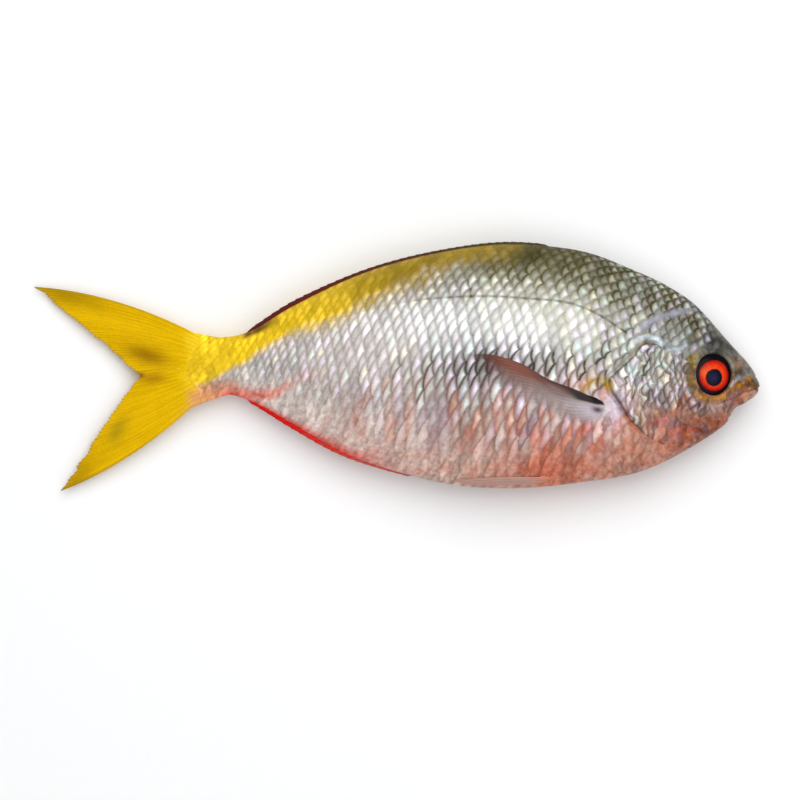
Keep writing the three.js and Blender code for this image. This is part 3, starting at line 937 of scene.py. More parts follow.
def build_side(points, seed):
    """Relief in metres and material values for the points of one side."""
    at = skin_places(points)
    s, t = at.s, at.t
    relief = np.zeros(s.shape)
    scaly = np.ones(s.shape)
    on_cheek = np.zeros(s.shape, bool)
    head = at.x[:, 0] > HEAD_END
    relief[head], scaly[head], on_cheek[head] = head_relief(at.x[head], at.y[head])

    scale = lay_scales(at, points, on_cheek, seed)
    off_edges = smoothstep(0, 0.012, t) * smoothstep(1, 0.988, t)
    strength = scaly * (0.35 + 0.65 * off_edges) * scale.size * smoothstep(1.0, 0.965, s)
    tube = bump_at(at.above - 0.2, 0.55) * (s > 0.235) * (s < 0.99)
    relief = relief * MM + scale.height * SCALE_STEP * strength + TUBE_HEIGHT * tube
    relief += BARE_ROUGHNESS * patches(at, 5, seed + 8) * (1 - scaly)

    part = regions(s, t)
    colour, yellow = skin_colour(s, t, at.x, at.y, at.above)
    pigment = mottled(colour, at, part, scale, scaly, on_cheek, seed)
    # The middle of each scale: where its painted highlight sits, and where the skin is more
    # metallic.
    blob = bump_at(scale.da - 0.28, 0.26) * bump_at(scale.db, 0.62) * scaly
    line_dark = 0.75 * tube * scale.dashes * smoothstep(0.72, 0.5, s)
    metal = (0.16 + 0.16 * part.band + 0.34 * blob) * (1 - 0.4 * yellow) * smoothstep(0.02, 0.3, t)
    # The net between the scales: dark skin in the gaps and painted shadow behind each scale's edge.
    gap = scale_gaps_and_shadow(t, part, scale, yellow, on_cheek) * scaly
    fields = {
        "pigment": np.clip(pigment, 0.002, 1),
        "tint": painted_glint_colour(t, part, scale, yellow, colour),
        "gap_shadow_tone": np.clip(gap_and_shadow_colour(s, part, scale, yellow, pigment), 0.002, 1),
        "gap": np.clip(gap + line_dark, 0, 0.95),
        "glint": np.clip(scale_glint(t, part, scale, yellow, on_cheek) * blob, 0, 1),
        "metal": np.clip(metal, 0, 1),
        "scaly": scaly,
        "circuli": np.hypot(scale.da * 0.9, scale.db * 0.62),
        "chance": scale.chance,
    }
    return relief, fields


def skin_material():
    n = Nodes("fish_skin")
    mottle = n.noise(1.1, 4, 0.65)
    blotch = n.noise(7.0, 3, 0.5)
    # Painted highlight: the middle of each scale is blended towards its glint colour.
    glint = n.math("MULTIPLY", n.attribute("glint"), 0.9)
    tone = n.mix(glint, n.attribute("pigment", "Color"), n.attribute("tint", "Color"))
    # Darkens the colour in the net between the scales: dark skin and painted shadow.
    tone = n.mix(n.attribute("gap"), tone, n.attribute("gap_shadow_tone", "Color"))
    shade = n.blend_numbers(mottle, 0.72, 1.24)
    shade = n.math("MULTIPLY", shade, n.blend_numbers(blotch, 0.88, 1.12))
    shade = n.math("MULTIPLY", shade, n.blend_numbers(n.attribute("chance"), 0.82, 1.18))
    tone = n.shaded(tone, shade)
    rough = n.blend_numbers(mottle, 0.24, 0.46)
    rough = n.math("ADD", rough, n.math("MULTIPLY", n.attribute("gap"), 0.2), clamp=True)
    rings = n.math("SINE", n.math("MULTIPLY", n.attribute("circuli"), 95.0))
    rings = n.math("MULTIPLY", rings, n.attribute("scaly"))
    fine = n.math("ADD", n.math("MULTIPLY", rings, 0.07), n.noise(0.5, 3, 0.6))
    return n.finish(
        Base_Color=tone, Roughness=rough, Metallic=n.attribute("metal"),
        Normal=n.bump(fine, 0.35, 0.12), Specular_IOR_Level=0.3, Specular_Tint=tone,
        Coat_Weight=0.03, Coat_Roughness=0.14, Coat_IOR=1.35,
    )


TAIL_TAPER = 20.0 * MM  # the flesh thins out over this length
TAIL_BULGE = 6.5 * MM  # how far its end rounds out over the fin
TAIL_SKIN = 0.30 * MM  # half the thickness of its end


def tail_plane():
    """The tail fin's slope and its height at X = 0, from its solid."""
    points = mesh_points("caudal_fin")
    return np.polyfit(points[:, 0], points[:, 2], 1)


def taper_tail(points):
    """The flesh thins out and rounds over the root of the tail fin."""
    slope, level = tail_plane()
    (back, belly, _, spine), _, _ = sections(points[:, 0, 0])
    x, y = points[..., 0].copy(), points[..., 1]
    share = np.clip((BASE_X + TAIL_TAPER - x) / TAIL_TAPER, 0, 1)
    middle, half = ((back + belly) / 2)[:, None], ((back - belly) / 2)[:, None]
    height = np.clip(np.abs(y - middle) / half, 0, 1)
    points[..., 0] = x - TAIL_BULGE * share ** 2 * (1 - height ** 2.2)
    offset = points[..., 2] - spine[:, None]
    fullest = np.maximum(np.abs(offset).max(axis=1, keepdims=True), 1e-6)
    thin = offset / fullest * np.minimum(TAIL_SKIN, fullest)
    blend = smoothstep(0, 1, share)
    on_plane = slope * points[..., 0] + level
    base = spine[:, None] + (on_plane - spine[:, None]) * blend
    points[..., 2] = base + offset + (thin - offset) * blend
    return points


def build_skin():
    points = taper_tail(body_grid())
    normals = grid_normals(points)
    rings, around = points.shape[:2]
    half = around // 2
    right = np.arange(half + 1)
    left = np.concatenate([[0], np.arange(around - 1, half - 1, -1)])
    relief = np.zeros((rings, around))
    fields = {}
    for columns, seed in ((left, 40), (right, 10)):
        side_relief, side_fields = build_side(points[:, columns], seed)
        relief[:, columns] = side_relief
        for name, values in side_fields.items():
            store = fields.setdefault(name, np.zeros((rings, around) + values.shape[2:]))
            store[:, columns] = values
    ring = np.arange(rings)
    relief *= (smoothstep(0, 6, ring) * smoothstep(rings - 1, rings - 5, ring))[:, None]
    moved = points + normals * relief[..., None]
    moved[..., 2] = np.maximum(moved[..., 2], SKIN_FLOOR)
    tips = moved[0].mean(0) + [SNOUT_CAP, 0, 0], moved[-1].mean(0)
    along = (SNOUT_X - points[:, 0, 0]) / BODY_LENGTH

    def wrap_sides(ring, turn):
        """Texture places: an island for each side, along the fish and from back to belly."""
        down = 1 - np.abs(1 - 2 * turn)
        island = np.where(turn[:, :1] < 0.5, 0.0, 0.5)
        return np.stack([0.01 + 0.97 * along[ring], 0.01 + 0.475 * down + island], -1)

    cap_uv = (0.992, 0.01), (0.996, 0.01), (0.996, 0.014)
    piece = ring_mesh("fish_skin", moved, tips, fields, wrap_sides, cap_uv)
    return attach(piece, skin_material(), "skin", "body")


# ==================================== Thin sheets: fins ====================================
def build_sheet(name, middle, half_thickness, normals, fields):
    """A closed thin sheet: two faces a little apart, joined round the rim."""
    rows, columns = middle.shape[:2]
    size = rows * columns
    thick = half_thickness[..., None] * normals
    points = np.concatenate([(middle + thick).reshape(-1, 3), (middle - thick).reshape(-1, 3)])
    i, j = np.meshgrid(np.arange(rows - 1), np.arange(columns - 1), indexing="ij")
    corner = (i * columns + j).ravel()
    top = np.stack([corner, corner + columns, corner + columns + 1, corner + 1], 1)
    under = top[:, ::-1]
    rim = np.concatenate([
        np.arange(columns), np.arange(1, rows) * columns + columns - 1,
        (rows - 1) * columns + np.arange(columns - 2, -1, -1), np.arange(rows - 2, 0, -1) * columns,
    ])
    after = np.roll(rim, -1)
    wall = np.stack([rim, after, after + size, rim + size], 1)
    piece = make_mesh(name, points, np.concatenate([top, under + size, wall]))
    for key, values in fields.items():
        flat = values.reshape((size,) + values.shape[2:])
        add_values(piece, **{key: np.concatenate([flat, flat])})
    share = np.meshgrid(np.linspace(0, 1, rows), np.linspace(0, 1, columns), indexing="ij")
    share = np.stack(share, -1).reshape(-1, 2) * [0.98, 0.47]
    wall_uv = np.broadcast_to([[0, 0.49], [0.01, 0.49], [0.01, 0.5], [0, 0.5]], (len(wall), 4, 2))
    faces_uv = share[top] + [0.01, 0.01], share[under] + [0.01, 0.52], wall_uv
    add_uv(piece, np.concatenate(faces_uv).reshape(-1, 2))
    return piece


def sheet_normals(points):
    """Directions square to a sheet of points, all turned upwards."""
    normal = np.cross(np.gradient(points, axis=0), np.gradient(points, axis=1))
    normal /= np.maximum(np.linalg.norm(normal, axis=2, keepdims=True), 1e-12)
    return normal * np.sign(normal[..., 2:3])


def ray_ridges(share, along, first_count, splits):
    """Fin rays across a fan: rounded ridges that split in two at each of the given places."""
    ridge = np.abs(np.cos(np.pi * share * first_count))
    for k, place in enumerate(splits, 1):
        finer = np.abs(np.cos(np.pi * share * first_count * 2**k))
        ridge += (finer - ridge) * smoothstep(place - 0.12, place + 0.12, along)
    return ridge


def fin_material(name, roughness, segment_mm, gloss_tint, ray_shade, opacity=None):
    """A damp membrane over rays: its pigment is on the points, and it has fine cross joints."""
    n = Nodes(name)
    ray = n.attribute("ray")
    mottle = n.noise(0.9, 4, 0.65)
    blotch = n.noise(6.0, 3, 0.55)
    shade = n.blend_numbers(mottle, 0.76, 1.2)
    shade = n.math("MULTIPLY", shade, n.blend_numbers(blotch, 0.88, 1.1))
    shade = n.math("MULTIPLY", shade, n.blend_numbers(ray, *ray_shade))
    joints = n.math("MULTIPLY", n.attribute("length"), 2 * math.pi / (segment_mm * MM))
    joints = n.math("MULTIPLY", n.math("SINE", joints), ray)
    fine = n.math("ADD", n.math("MULTIPLY", joints, 0.2), mottle)
    shader = {
        "Base_Color": n.shaded(n.attribute("pigment", "Color"), shade),
        "Roughness": n.blend_numbers(mottle, roughness, roughness + 0.2),
        "Normal": n.bump(fine, 0.4, 0.12),
        "Specular_IOR_Level": 0.32,
        "Specular_Tint": gloss_tint,
    }
    if opacity:
        shader["Alpha"] = n.blend_numbers(n.attribute("cover"), *opacity)
    return n.finish(**shader)


# ==================================== Tail fin ====================================
def outline_of_tail():
    """The tail fin's outline from the solid: its edges from the root to the tips and the fork."""
    points = np.unique(np.round(mesh_points("caudal_fin")[:, :2], 6), axis=0)
    base = points[:, 0].max()
    root = np.array([base - 1.5 * MM, points[points[:, 0] > base - 0.1 * MM][:, 1].mean()])
    offset = points - root
    turn = np.mod(np.arctan2(offset[:, 1], offset[:, 0]), 2 * np.pi)
    points = points[np.argsort(turn)]
    upper_tip = int(np.argmin(points[:, 0]))
    lower_tip = int(np.argmin(points[:, 1]))
    return points[:upper_tip + 1], points[upper_tip:lower_tip + 1], points[lower_tip:][::-1]


TAIL_ROOT = np.array([4.0, 2.0]) * MM  # the fin's root reaches this far into the flesh, and narrows
TAIL_RAYS = 17
TAIL_SPLITS = (0.3, 0.62)  # shares of the fin's length at which its rays split
TAIL_YELLOW = srgb(226, 178, 1)
TAIL_RIM = srgb(150, 122, 30)
TAIL_MARGIN = srgb(170, 140, 50)
TAIL_SMUDGES = [  # x and y from the fork (mm), half length, half height, turn, colour, strength
    (3.5, 8.4, 10.5, 3.6, -16, srgb(128, 78, 4), 0.75),
    (6.0, -0.8, 6.5, 2.6, 0, srgb(140, 84, 8), 0.6),
    (0.6, 0.2, 1.7, 1.2, 0, srgb(104, 26, 18), 0.9),
    (-9.0, -22.5, 6.0, 3.2, 55, srgb(128, 112, 16), 0.55),
    (20.0, 4.0, 7.0, 16.0, 0, srgb(236, 192, 2), 0.5),
    (24.0, -15.0, 7.0, 3.0, 30, srgb(214, 150, 90), 0.6),
    (-30.0, 33.5, 16.0, 4.5, -14, srgb(158, 120, 2), 0.7),
    (-26.0, -43.0, 12.0, 4.5, 50, srgb(158, 118, 6), 0.7),
]


def tail_patch(along_count, across_count):
    """The tail fin as a flat grid from root to margin, the fork's share of the margin, its place."""
    top, margin, bottom = outline_of_tail()
    first = by_length(np.concatenate([[top[0] + TAIL_ROOT * [1, -1]], top]), along_count)
    last = by_length(np.concatenate([[bottom[0] + TAIL_ROOT], bottom]), along_count)
    far = by_length(margin, across_count)
    share = np.linspace(0, 1, across_count)[:, None]
    near = first[0] + (last[0] - first[0]) * share
    fork = margin[np.argmax(margin[:, 0])]
    return coons(first, last, near, far), np.argmax(far[:, 0]) / (across_count - 1), fork


def tail_colour(flat, s, t, x, y):
    """Pigment of the tail fin: yellow with smudges and fine streaks, and the skin's at its root."""
    colour = np.broadcast_to(TAIL_YELLOW, s.shape + (3,)).copy()
    for *oval, tone, strength in TAIL_SMUDGES:
        colour = toward(colour, tone, strength * np.exp(-turned_oval(x, y, *oval)))
    streak = 0.5 * noise(t * 90, s * 3, 51) + 0.5 * noise(t * 210, s * 4, 52)
    colour *= (0.86 + 0.26 * streak)[..., None]
    (back, belly, _, _), _, _ = sections(np.array([BASE_X]))
    root_t = np.clip((flat[..., 1] - belly) / (back - belly), 0, 1)
    from_eye = (flat - EYE[:2]) / MM
    root_colour, _ = skin_colour(
        np.full(s.shape, 0.995), root_t, from_eye[..., 0], from_eye[..., 1], root_t * 30
    )
    own = smoothstep(3.0, -5.0, (flat[..., 0] - BASE_X) / MM + 3 * cloud(x / 5, y / 5, 55))
    colour = toward(root_colour, colour, own)
    rim = np.maximum(bump_at(t, 0.016), bump_at(1 - t, 0.016)) * smoothstep(0.1, 0.5, s)
    colour = toward(colour, TAIL_RIM, 0.5 * rim)
    return toward(colour, TAIL_MARGIN, 0.4 * smoothstep(0.97, 1, s))


def build_tail_fin():
    along_count, across_count = ((300, 440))
    flat, fork_share, fork = tail_patch(along_count, across_count)
    shares = np.linspace(0, 1, along_count), np.linspace(0, 1, across_count)
    s, t = np.meshgrid(*shares, indexing="ij")
    ray = ray_ridges(t + 0.004 * cloud(t * 9, s * 2, 27), s, TAIL_RAYS, TAIL_SPLITS)
    # The margin is frayed: the membrane between the rays is worn back a little.
    line = np.zeros_like(t)
    wear = 1 - ray + 2.6 * noise(t * 60, line, 21) * noise(t * 9, line, 22)
    pull = smoothstep(0.84, 1.0, s) * wear * MM * smoothstep(0, 0.05, np.minimum(t, 1 - t))
    pull *= 1 - 0.6 * bump_at(t - fork_share, 0.08)
    towards = flat - np.roll(flat, 1, axis=0)
    towards[0] = towards[1]
    towards /= np.maximum(np.linalg.norm(towards, axis=2, keepdims=True), 1e-9)
    flat = flat - towards * pull[..., None]

    slope, level = tail_plane()
    wave = 0.35 * MM * np.sin(t * 23 + s * 3) * smoothstep(0.2, 0.9, s)
    cup = 0.5 * MM * cloud(flat[..., 0] / (30 * MM), flat[..., 1] / (30 * MM), 31) * s
    z = slope * flat[..., 0] + level + wave + cup
    middle = np.concatenate([flat, z[..., None]], axis=2)
    edge_rays = bump_at(t, 0.03) + bump_at(1 - t, 0.03)
    thickness = 0.60 - 0.38 * s ** 0.7 + 0.2 * edge_rays * (1 - s)
    thickness += 0.11 * ray * smoothstep(0.08, 0.3, s)
    thickness *= smoothstep(1.002, 0.985, s) * 0.6 + 0.4
    thickness *= 1 - 0.55 * smoothstep(0.012, 0.0, np.minimum(t, 1 - t))

    x, y = (flat[..., 0] - fork[0]) / MM, (flat[..., 1] - fork[1]) / MM
    fields = {"pigment": tail_colour(flat, s, t, x, y), "ray": ray, "length": s * 60 * MM}
    piece = build_sheet("tail_fin", middle, thickness * MM, sheet_normals(middle), fields)
    material = fin_material("tail_fin_membrane", 0.38, 0.9, (1.0, 0.72, 0.08), (0.90, 1.06))
    return attach(piece, material, "tail_fin", "caudal_fin")


# ==================================== Eyes ====================================
PUPIL = 3.5  # radii in millimetres
IRIS = 6.3
EYEBALL = 8.8
IRIS_DROP = 0.1  # the iris sits this far below the middle of its dark ring
PUPIL_DROP = 0.9  # and the pupil this far below it
PUPIL_BACK = 0.4  # and this far behind it
EYE_DEPTH = 4.4
IRIS_INNER = srgb(238, 68, 16)
IRIS_OUTER = srgb(190, 14, 6)
IRIS_GLOW = srgb(252, 120, 50)
RING_BLACK = srgb(7, 6, 9)
PUPIL_BLACK = srgb(6, 5, 12)
PUPIL_BLUE = srgb(34, 30, 70)


def surface_axes(x, y, side, reach):
    """The skin's point at (x, y), and its forward, upward and outward directions there."""
    places = np.array([x, x + reach, x - reach, x, x]), np.array([y, y, y, y + reach, y - reach])
    z = flank_height(*places, side)
    forward = np.array([2 * reach, 0, z[1] - z[2]])
    upward_axis = np.array([0, 2 * reach, z[3] - z[4]])
    forward /= np.linalg.norm(forward)
    outward = np.cross(forward, upward_axis)
    outward /= np.linalg.norm(outward)
    return np.array([x, y, z[0]]), forward, np.cross(outward, forward), outward * side


def iris_fibres(turn, radius):
    return noise(turn * 26 + 90, radius, 61)


def eye_colour(radius, angle):
    """Pigment of the eyeball: a blue-black pupil, a fiery iris and its dark ring."""
    u, v = radius * np.cos(angle), radius * np.sin(angle) + IRIS_DROP
    iris_radius = np.hypot(u, v)
    pupil_radius = np.hypot(u + PUPIL_BACK, v - IRIS_DROP + PUPIL_DROP)
    turn = np.arctan2(v, u)
    fibres = 0.6 * iris_fibres(turn, iris_radius * 0.5)
    fibres += 0.4 * noise(turn * 60 + 200, iris_radius, 62)
    iris = toward(IRIS_INNER, IRIS_OUTER, smoothstep(PUPIL, IRIS, iris_radius))
    iris = iris * (0.62 + 0.62 * fibres)[..., None]
    iris = toward(iris, IRIS_GLOW, 0.40 * bump_at(np.hypot(u + 4.4, v - 1.2), 2.0))
    wobble = 0.18 * cloud(turn * 3 + 40, iris_radius * 0, 64)
    dark = RING_BLACK * (0.8 + 0.5 * noise(u * 1.5, v * 1.5, 66))[..., None]
    colour = toward(iris, dark, smoothstep(IRIS - 0.25 + wobble, IRIS + 0.35 + wobble, iris_radius))
    inside = smoothstep(PUPIL + 0.30 + wobble, PUPIL - 0.15 + wobble, pupil_radius)
    pupil = toward(PUPIL_BLACK, PUPIL_BLUE, bump_at(pupil_radius, 2.0))
    return toward(colour, pupil, inside), iris_radius, pupil_radius


def build_eye(name, node, side, material):
    middle, forward, above, outward = surface_axes(EYE[0], EYE[1], side, 7 * MM)
    across, around = ((90, 240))
    front, rear = np.linspace(0.02, 1, across), np.linspace(0.3, 1, 8)
    radius = EYEBALL * np.concatenate([front, np.linspace(0.94, 0.1, 8)])
    height = np.concatenate([1.0 - 2.7 * front ** 2, -1.7 - 2.6 * rear ** 0.6])
    angle = np.linspace(0, 2 * np.pi, around, endpoint=False) * side
    radius, angle = np.meshgrid(radius, angle, indexing="ij")
    height = np.broadcast_to(height[:, None], radius.shape).copy()
    colour, iris_radius, pupil_radius = eye_colour(radius, angle)
    on_front = np.arange(radius.shape[0])[:, None] < across
    raised = 0.22 * smoothstep(PUPIL + 0.3, PUPIL - 0.5, pupil_radius)
    raised -= 0.16 * bump_at(iris_radius - IRIS - 0.2, 0.5)
    raised += 0.05 * iris_fibres(np.arctan2(np.sin(angle), np.cos(angle)), radius)
    height += on_front * raised
    rings = middle + MM * (
        (radius * np.cos(angle))[..., None] * forward
        + (radius * np.sin(angle))[..., None] * above
        + height[..., None] * outward
    )
    tips = middle + MM * height[0, 0] * outward, middle - EYE_DEPTH * MM * outward
    piece = ring_mesh(name, rings[:, ::-1], tips, {"pigment": colour[:, ::-1]})
    return attach(piece, material, "eye", node)


def eye_material():
    n = Nodes("wet_eye")
    grain = n.noise(0.35, 3, 0.6)
    return n.finish(
        Base_Color=n.shaded(n.attribute("pigment", "Color"), n.blend_numbers(grain, 0.82, 1.18)),
        Roughness=n.blend_numbers(grain, 0.28, 0.42), Normal=n.bump(grain, 0.15, 0.05),
        Specular_IOR_Level=0.06, Coat_Weight=0.12, Coat_Roughness=0.03, Coat_IOR=1.35,
    )


# ==================================== Folded edge fins ====================================
def crest_line(node, up):
    """The free edge of a fin along the back or the belly: x, y and z of points along it."""
    points = mesh_points(node)
    places = np.unique(np.round(points[:, 0], 5))
    crest = []
    for x in places:
        ring = points[np.abs(points[:, 0] - x) < 2e-5]
        tip = ring[:, 1].max() if up > 0 else ring[:, 1].min()
        crest.append((x, tip, ring[np.abs(ring[:, 1] - tip) < 0.2 * MM][:, 2].mean()))
    return np.array(crest)


RAY_SPACING = 3.3 * MM
RAY_SLANT = 2.6  # how many rays along the foot a ray's tip lies behind its own foot
FOOT_DEPTH = 1.3 * MM  # how far an edge fin's foot stands inside the body
BLADE_STEPS = 13  # points from the foot of the blade to its edge


def build_edge_fin(name, node, slot, up, tones, material):
    """A fin folded down along the edge of the body: a low blade of slanting rays."""
    crest = crest_line(node, up)
    x = np.linspace(crest[-1, 0], crest[0, 0], 620)
    tip_y, tip_z = hermite(crest[:, 0], crest[:, 1:], x).T
    (back, belly, _, spine), _, _ = sections(x)
    foot = (back if up > 0 else belly) - up * FOOT_DEPTH
    rise = np.linspace(0, 1, BLADE_STEPS)
    h = np.concatenate([rise, rise[-2::-1]])
    half = np.where(np.arange(len(h)) < BLADE_STEPS, 1, -1)
    share = (x[0] - x) / (x[0] - x[-1])
    slant = share[:, None] * (x[0] - x[-1]) / RAY_SPACING - h * RAY_SLANT
    ray = np.abs(np.cos(np.pi * slant))
    ends = np.sin(np.pi * np.clip(share, 0.004, 0.996)) ** 0.35
    low = fade_ends(share, 0.05, 0.04)
    tall = (tip_y - foot)[:, None] * (1 - 0.10 * (1 - np.mod(slant, 1)) * h)
    y = foot[:, None] + tall * (0.4 + 0.6 * low)[:, None] * h
    z = spine[:, None] + (tip_z - spine)[:, None] * h
    width = (0.95 * (1 - h) ** 0.8 + 0.20) * (0.86 + 0.14 * ray) * ends[:, None] * MM
    z = z + half * width * np.where(h > 0.99, 0.4, 1)
    rings = np.stack([np.broadcast_to(x[:, None], y.shape), y, z], -1)
    mix = smoothstep(0.2, 0.75, share + 0.12 * cloud(share * 18, share * 0, 71))
    colour = toward(tones[0], tones[1], np.broadcast_to(mix[:, None], ray.shape))
    colour = colour * (0.8 + 0.3 * ray)[..., None]
    length = np.broadcast_to((share * 120 * MM)[:, None], ray.shape)
    fields = {"pigment": colour, "ray": ray, "length": length}
    if up < 0:
        rings = rings[:, ::-1]
        fields = {key: values[:, ::-1] for key, values in fields.items()}
    piece = ring_mesh(name, rings, (rings[0].mean(0), rings[-1].mean(0)), fields)
    return attach(piece, material, slot, node)


# ==================================== Paired fins ====================================
def box_places(node, shares):
    """Places in a node's box, given as shares of its length and its height, in metres."""
    low, high = (np.array(corner)[:2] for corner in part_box(node))
    return low + (high - low) * np.array(shares, float)


# Outlines as shares of the fin's box: the leading edge, the margin from its tip, and the last ray.
PECTORAL = {
    "first": [
        (0.96, 0.44), (0.89, 0.475), (0.79, 0.55), (0.60, 0.675), (0.39, 0.88), (0.18, 0.985),
        (0.0, 0.99),
    ],
    "margin": [
        (0.0, 0.99), (0.08, 0.82), (0.18, 0.60), (0.32, 0.38), (0.47, 0.20), (0.62, 0.08),
        (0.76, 0.0),
    ],
    "last": [(0.96, 0.18), (0.91, 0.11), (0.84, 0.05), (0.76, 0.0)],
}
FAR_PECTORAL = {
    "first": [(1.0, 1.0), (0.75, 0.80), (0.5, 0.55), (0.25, 0.36), (0.0, 0.26)],
    "margin": [(0.0, 0.26), (0.08, 0.14), (0.2, 0.06), (0.32, 0.02)],
    "last": [(1.0, 0.70), (0.8, 0.42), (0.55, 0.16), (0.32, 0.02)],
}
PELVIC = {
    "first": [(1.0, 1.0), (0.7, 0.95), (0.35, 0.9), (0.0, 0.72)],
    "margin": [(0.0, 0.72), (0.06, 0.5), (0.14, 0.3), (0.24, 0.12)],
    "last": [(1.0, 0.45), (0.75, 0.25), (0.5, 0.12), (0.24, 0.12)],
}


ROOT_BOW = 2.2 * MM  # how far a paired fin's root rounds out towards the head


def lying_sheet(node, outline, side, lift, counts):
    """A fin pressed to the flank, as a grid of middle points with its outward directions."""
    along, across = counts
    first, margin, last = (
        by_length(box_places(node, outline[key]), count)
        for key, count in (("first", along), ("margin", across), ("last", along))
    )
    share = np.linspace(0, 1, across)[:, None]
    near = first[0] + (last[0] - first[0]) * share
    near[:, 0] += ROOT_BOW * np.sin(np.pi * share[:, 0])
    flat = coons(first, last, near, margin)
    z = flank_height(flat[..., 0], flat[..., 1], side)
    surface = np.concatenate([flat, z[..., None]], -1)
    normal = sheet_normals(surface) * side
    return surface + normal * (lift * MM)[..., None], normal


def build_paired_fin(name, node, outline, side, tone, rays, lift, material, counts):
    """A thin fin lying on the flank, lifted by the given millimetres at its root and its tip."""
    shares = (np.linspace(0, 1, count) for count in counts)
    s, t = np.meshgrid(*shares, indexing="ij")
    ray = ray_ridges(t, s, rays, (0.45,))
    root_sink = -1.1 * smoothstep(0.10, 0.0, s)
    ripple = 0.12 * cloud(s * 6, t * 8, 83) * smoothstep(0.2, 0.8, s)
    height = lift[0] + (lift[1] - lift[0]) * smoothstep(0, 0.5, s) + root_sink + ripple
    height -= 0.3 * smoothstep(0.3, 1.0, t)
    middle, normal = lying_sheet(node, outline, side, height, counts)
    edge = np.minimum(np.minimum(t, 1 - t) * 9, (1 - s) * 12)
    ridge = ray * smoothstep(0.08, 0.4, s) * (1 - 0.5 * s)
    thickness = (0.32 - 0.18 * s + 0.05 * ridge) * (0.25 + 0.75 * smoothstep(0, 1, edge))
    middle[..., 2] = np.maximum(middle[..., 2], SKIN_FLOOR + thickness * MM)
    colour, cover = tone(s, t, ray)
    fields = {"pigment": colour, "ray": ray, "length": s * 58 * MM, "cover": cover}
    piece = build_sheet(name, middle, thickness * MM, normal * side, fields)
    return attach(piece, material, "paired_fins", node)


FIN_GREY = srgb(178, 160, 156)
FIN_SMOKE = srgb(84, 42, 30)
FIN_PALE = srgb(226, 214, 224)
FIN_RUDDY = srgb(156, 82, 58)
FIN_BLACK = srgb(10, 8, 12)
FIN_SPOT = srgb(66, 24, 44)
PELVIC_PALE = srgb(204, 158, 144)
PELVIC_ROOT = srgb(208, 128, 102)


def pectoral_tone(s, t, ray):
    """Pigment and cover of a pectoral fin: dusky red in front, pinkish grey and clearer behind."""
    drift = 0.10 * cloud(s * 5, t * 7, 91)
    smoky = smoothstep(0.42, 0.06, t + drift)
    colour = toward(FIN_GREY, FIN_SMOKE, smoky)
    colour = toward(colour, FIN_PALE, 0.95 * bump_at(s - 0.12, 0.26) * smoothstep(0.2, 0.5, t))
    colour = toward(colour, FIN_RUDDY, 0.45 * bump_at(s - 0.72, 0.2) * bump_at(t - 0.10, 0.2))
    black = 0.7 * smoothstep(0.10, 0.02, t) * smoothstep(0.6, 0.2, s)
    black += smoothstep(0.34, 0.24, t) * smoothstep(0.32, 0.2, s)
    colour = toward(colour, FIN_BLACK, np.clip(black, 0, 0.98))
    colour = toward(colour, FIN_SPOT, 0.95 * bump_at(s - 0.09, 0.07) * bump_at(t - 0.50, 0.14))
    ray = 1 - (1 - ray) * smoothstep(0.12, 0.5, s)
    cover = 0.38 + 0.62 * smoky + 0.18 * ray
    cover *= 1 - 0.8 * smoothstep(0.35, 1.0, s) * smoothstep(0.1, 0.6, t)
    cover += 0.4 * smoothstep(0.30, 0.05, s) * smoothstep(0.9, 0.4, t)
    cover *= smoothstep(1.0, 0.62, t + 0.5 * s ** 3)
    cover *= smoothstep(1.02, 0.66, s + 0.3 * drift)
    return colour * (0.93 + 0.08 * ray)[..., None], np.clip(cover, 0.0, 1)


def pelvic_tone(s, t, ray):
    """Pigment and cover of a pelvic fin: orange at its root and pale pinkish grey beyond."""
    rooted = smoothstep(0.35, 0.0, s)
    colour = toward(PELVIC_PALE, PELVIC_ROOT, rooted) * (0.78 + 0.28 * ray)[..., None]
    return colour, np.clip(0.72 + 0.28 * ray + 0.3 * rooted, 0, 1)


# ==================================== Stage ====================================
VIEW_SPAN = 1.0993  # the picture's width in lengths of the fish
VIEW_OFFSET = (1.65 * MM, -13.8 * MM)  # the picture's middle from the middle of the fish's box
CAMERA_HEIGHT = 4.0


def build_floor():
    bpy.ops.mesh.primitive_plane_add(size=6, location=(0, 0, -0.05 * MM))
    floor = bpy.context.object
    floor.name = "floor"
    n = Nodes("pale_floor")
    grain = n.noise(3, 4, 0.6)
    tone = n.mix(grain, srgb(249, 249, 248), srgb(252, 252, 252))
    floor.data.materials.append(n.finish(
        Base_Color=tone, Roughness=0.9, Specular_IOR_Level=0.1, Normal=n.bump(grain, 0.05, 0.1),
    ))


def area_light(name, place, size, power, tone=(1, 1, 1)):
    light = bpy.data.lights.new(name, "AREA")
    light.shape = "DISK"
    light.size = size
    light.energy = power
    light.color = tone
    lamp = bpy.data.objects.new(name, light)
    lamp.location = place
    lamp.rotation_euler = Vector(place).to_track_quat("Z", "Y").to_euler()
    bpy.context.scene.collection.objects.link(lamp)


def build_lights():
    area_light("key", (0.1, 0.7, 1.35), 1.6, 17)
    area_light("fill", (0.6, -0.7, 1.3), 1.4, 5)
    area_light("overhead", (0.1, -0.2, 1.9), 1.6, 6.5)
    world = bpy.data.worlds.new("studio")
    world.use_nodes = True
    backdrop = world.node_tree.nodes["Background"]
    backdrop.inputs["Color"].default_value = (0.93, 0.96, 1.0, 1)
    backdrop.inputs["Strength"].default_value = 0.30
    bpy.context.scene.world = world
    bpy.context.scene.view_settings.view_transform = "Standard"


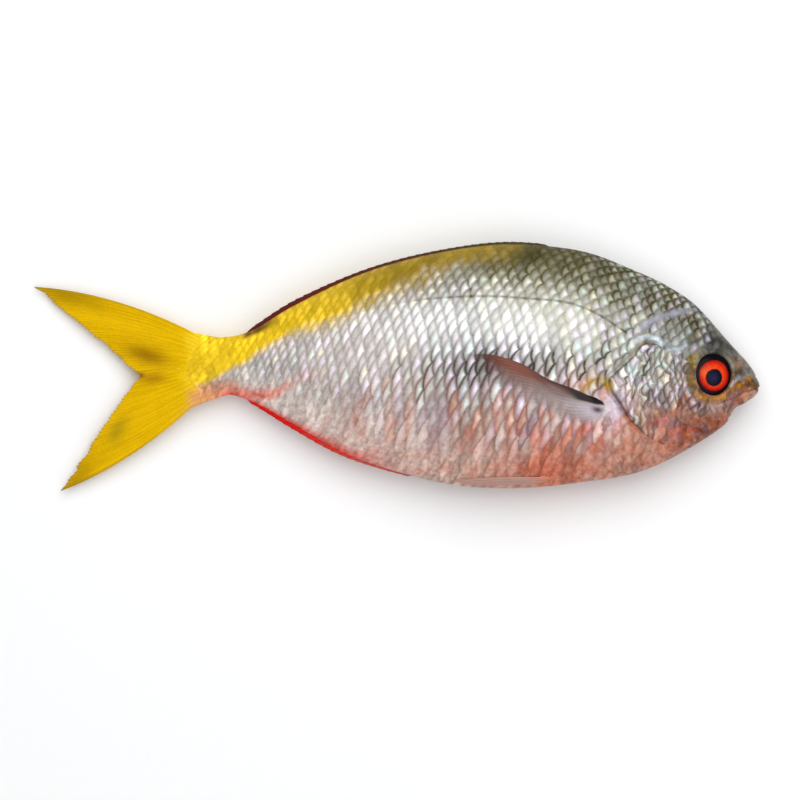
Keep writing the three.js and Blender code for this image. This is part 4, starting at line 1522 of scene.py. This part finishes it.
def build_camera():
    """Looks straight down on the resting fish, with its back towards the top of the picture."""
    low, high = CAD_BOX
    middle = (low + high) / 2
    span = VIEW_SPAN * (high.x - low.x)
    lens = bpy.data.cameras.new("camera")
    lens.sensor_width = 36
    camera = bpy.data.objects.new("camera", lens)
    camera.location = (middle.x + VIEW_OFFSET[0], middle.y + VIEW_OFFSET[1], CAMERA_HEIGHT)
    lens.lens = lens.sensor_width * (CAMERA_HEIGHT - middle.z) / span
    bpy.context.scene.collection.objects.link(camera)
    bpy.context.scene.camera = camera


# ==================================== The fish ====================================
build_skin()
build_tail_fin()
wet_eye = eye_material()
build_eye("eyeball_right", "right_eye", 1, wet_eye)
build_eye("eyeball_left", "left_eye", -1, wet_eye)
for word, up, tones, membrane in (
    ("dorsal", 1, (srgb(62, 54, 22), srgb(84, 12, 14)), (0.4, 1.1, (0.9, 0.6, 0.5))),
    ("anal", -1, (srgb(196, 88, 74), srgb(216, 20, 14)), (0.36, 1.1, (1.0, 0.5, 0.45))),
):
    edge_fin = fin_material(f"{word}_fin_membrane", *membrane, (0.8, 1.1))
    build_edge_fin(f"fin_{word}", f"{word}_fin", f"{word}_fin", up, tones, edge_fin)
clear_fin = fin_material(
    "paired_fin_membrane", 0.34, 1.0, (1.0, 0.9, 0.88), (0.96, 1.03), opacity=(0.0, 1.0)
)
FINE, SMALL = (((200, 300), (120, 90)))
for name, side, outline, tone, rays, lift, counts in (
    ("pectoral_right", 1, PECTORAL, pectoral_tone, 13, (0.8, 0.5), FINE),
    ("pectoral_left", -1, FAR_PECTORAL, pectoral_tone, 7, (0.6, 0.4), SMALL),
    ("pelvic_right", 1, PELVIC, pelvic_tone, 4, (0.7, 0.5), SMALL),
    ("pelvic_left", -1, PELVIC, pelvic_tone, 4, (0.7, 0.5), SMALL),
):
    kind, word = name.split("_")
    node = f"{word}_{kind}_fin"
    build_paired_fin(f"fin_{name}", node, outline, side, tone, rays, lift, clear_fin, counts)
build_floor()
build_lights()
build_camera()
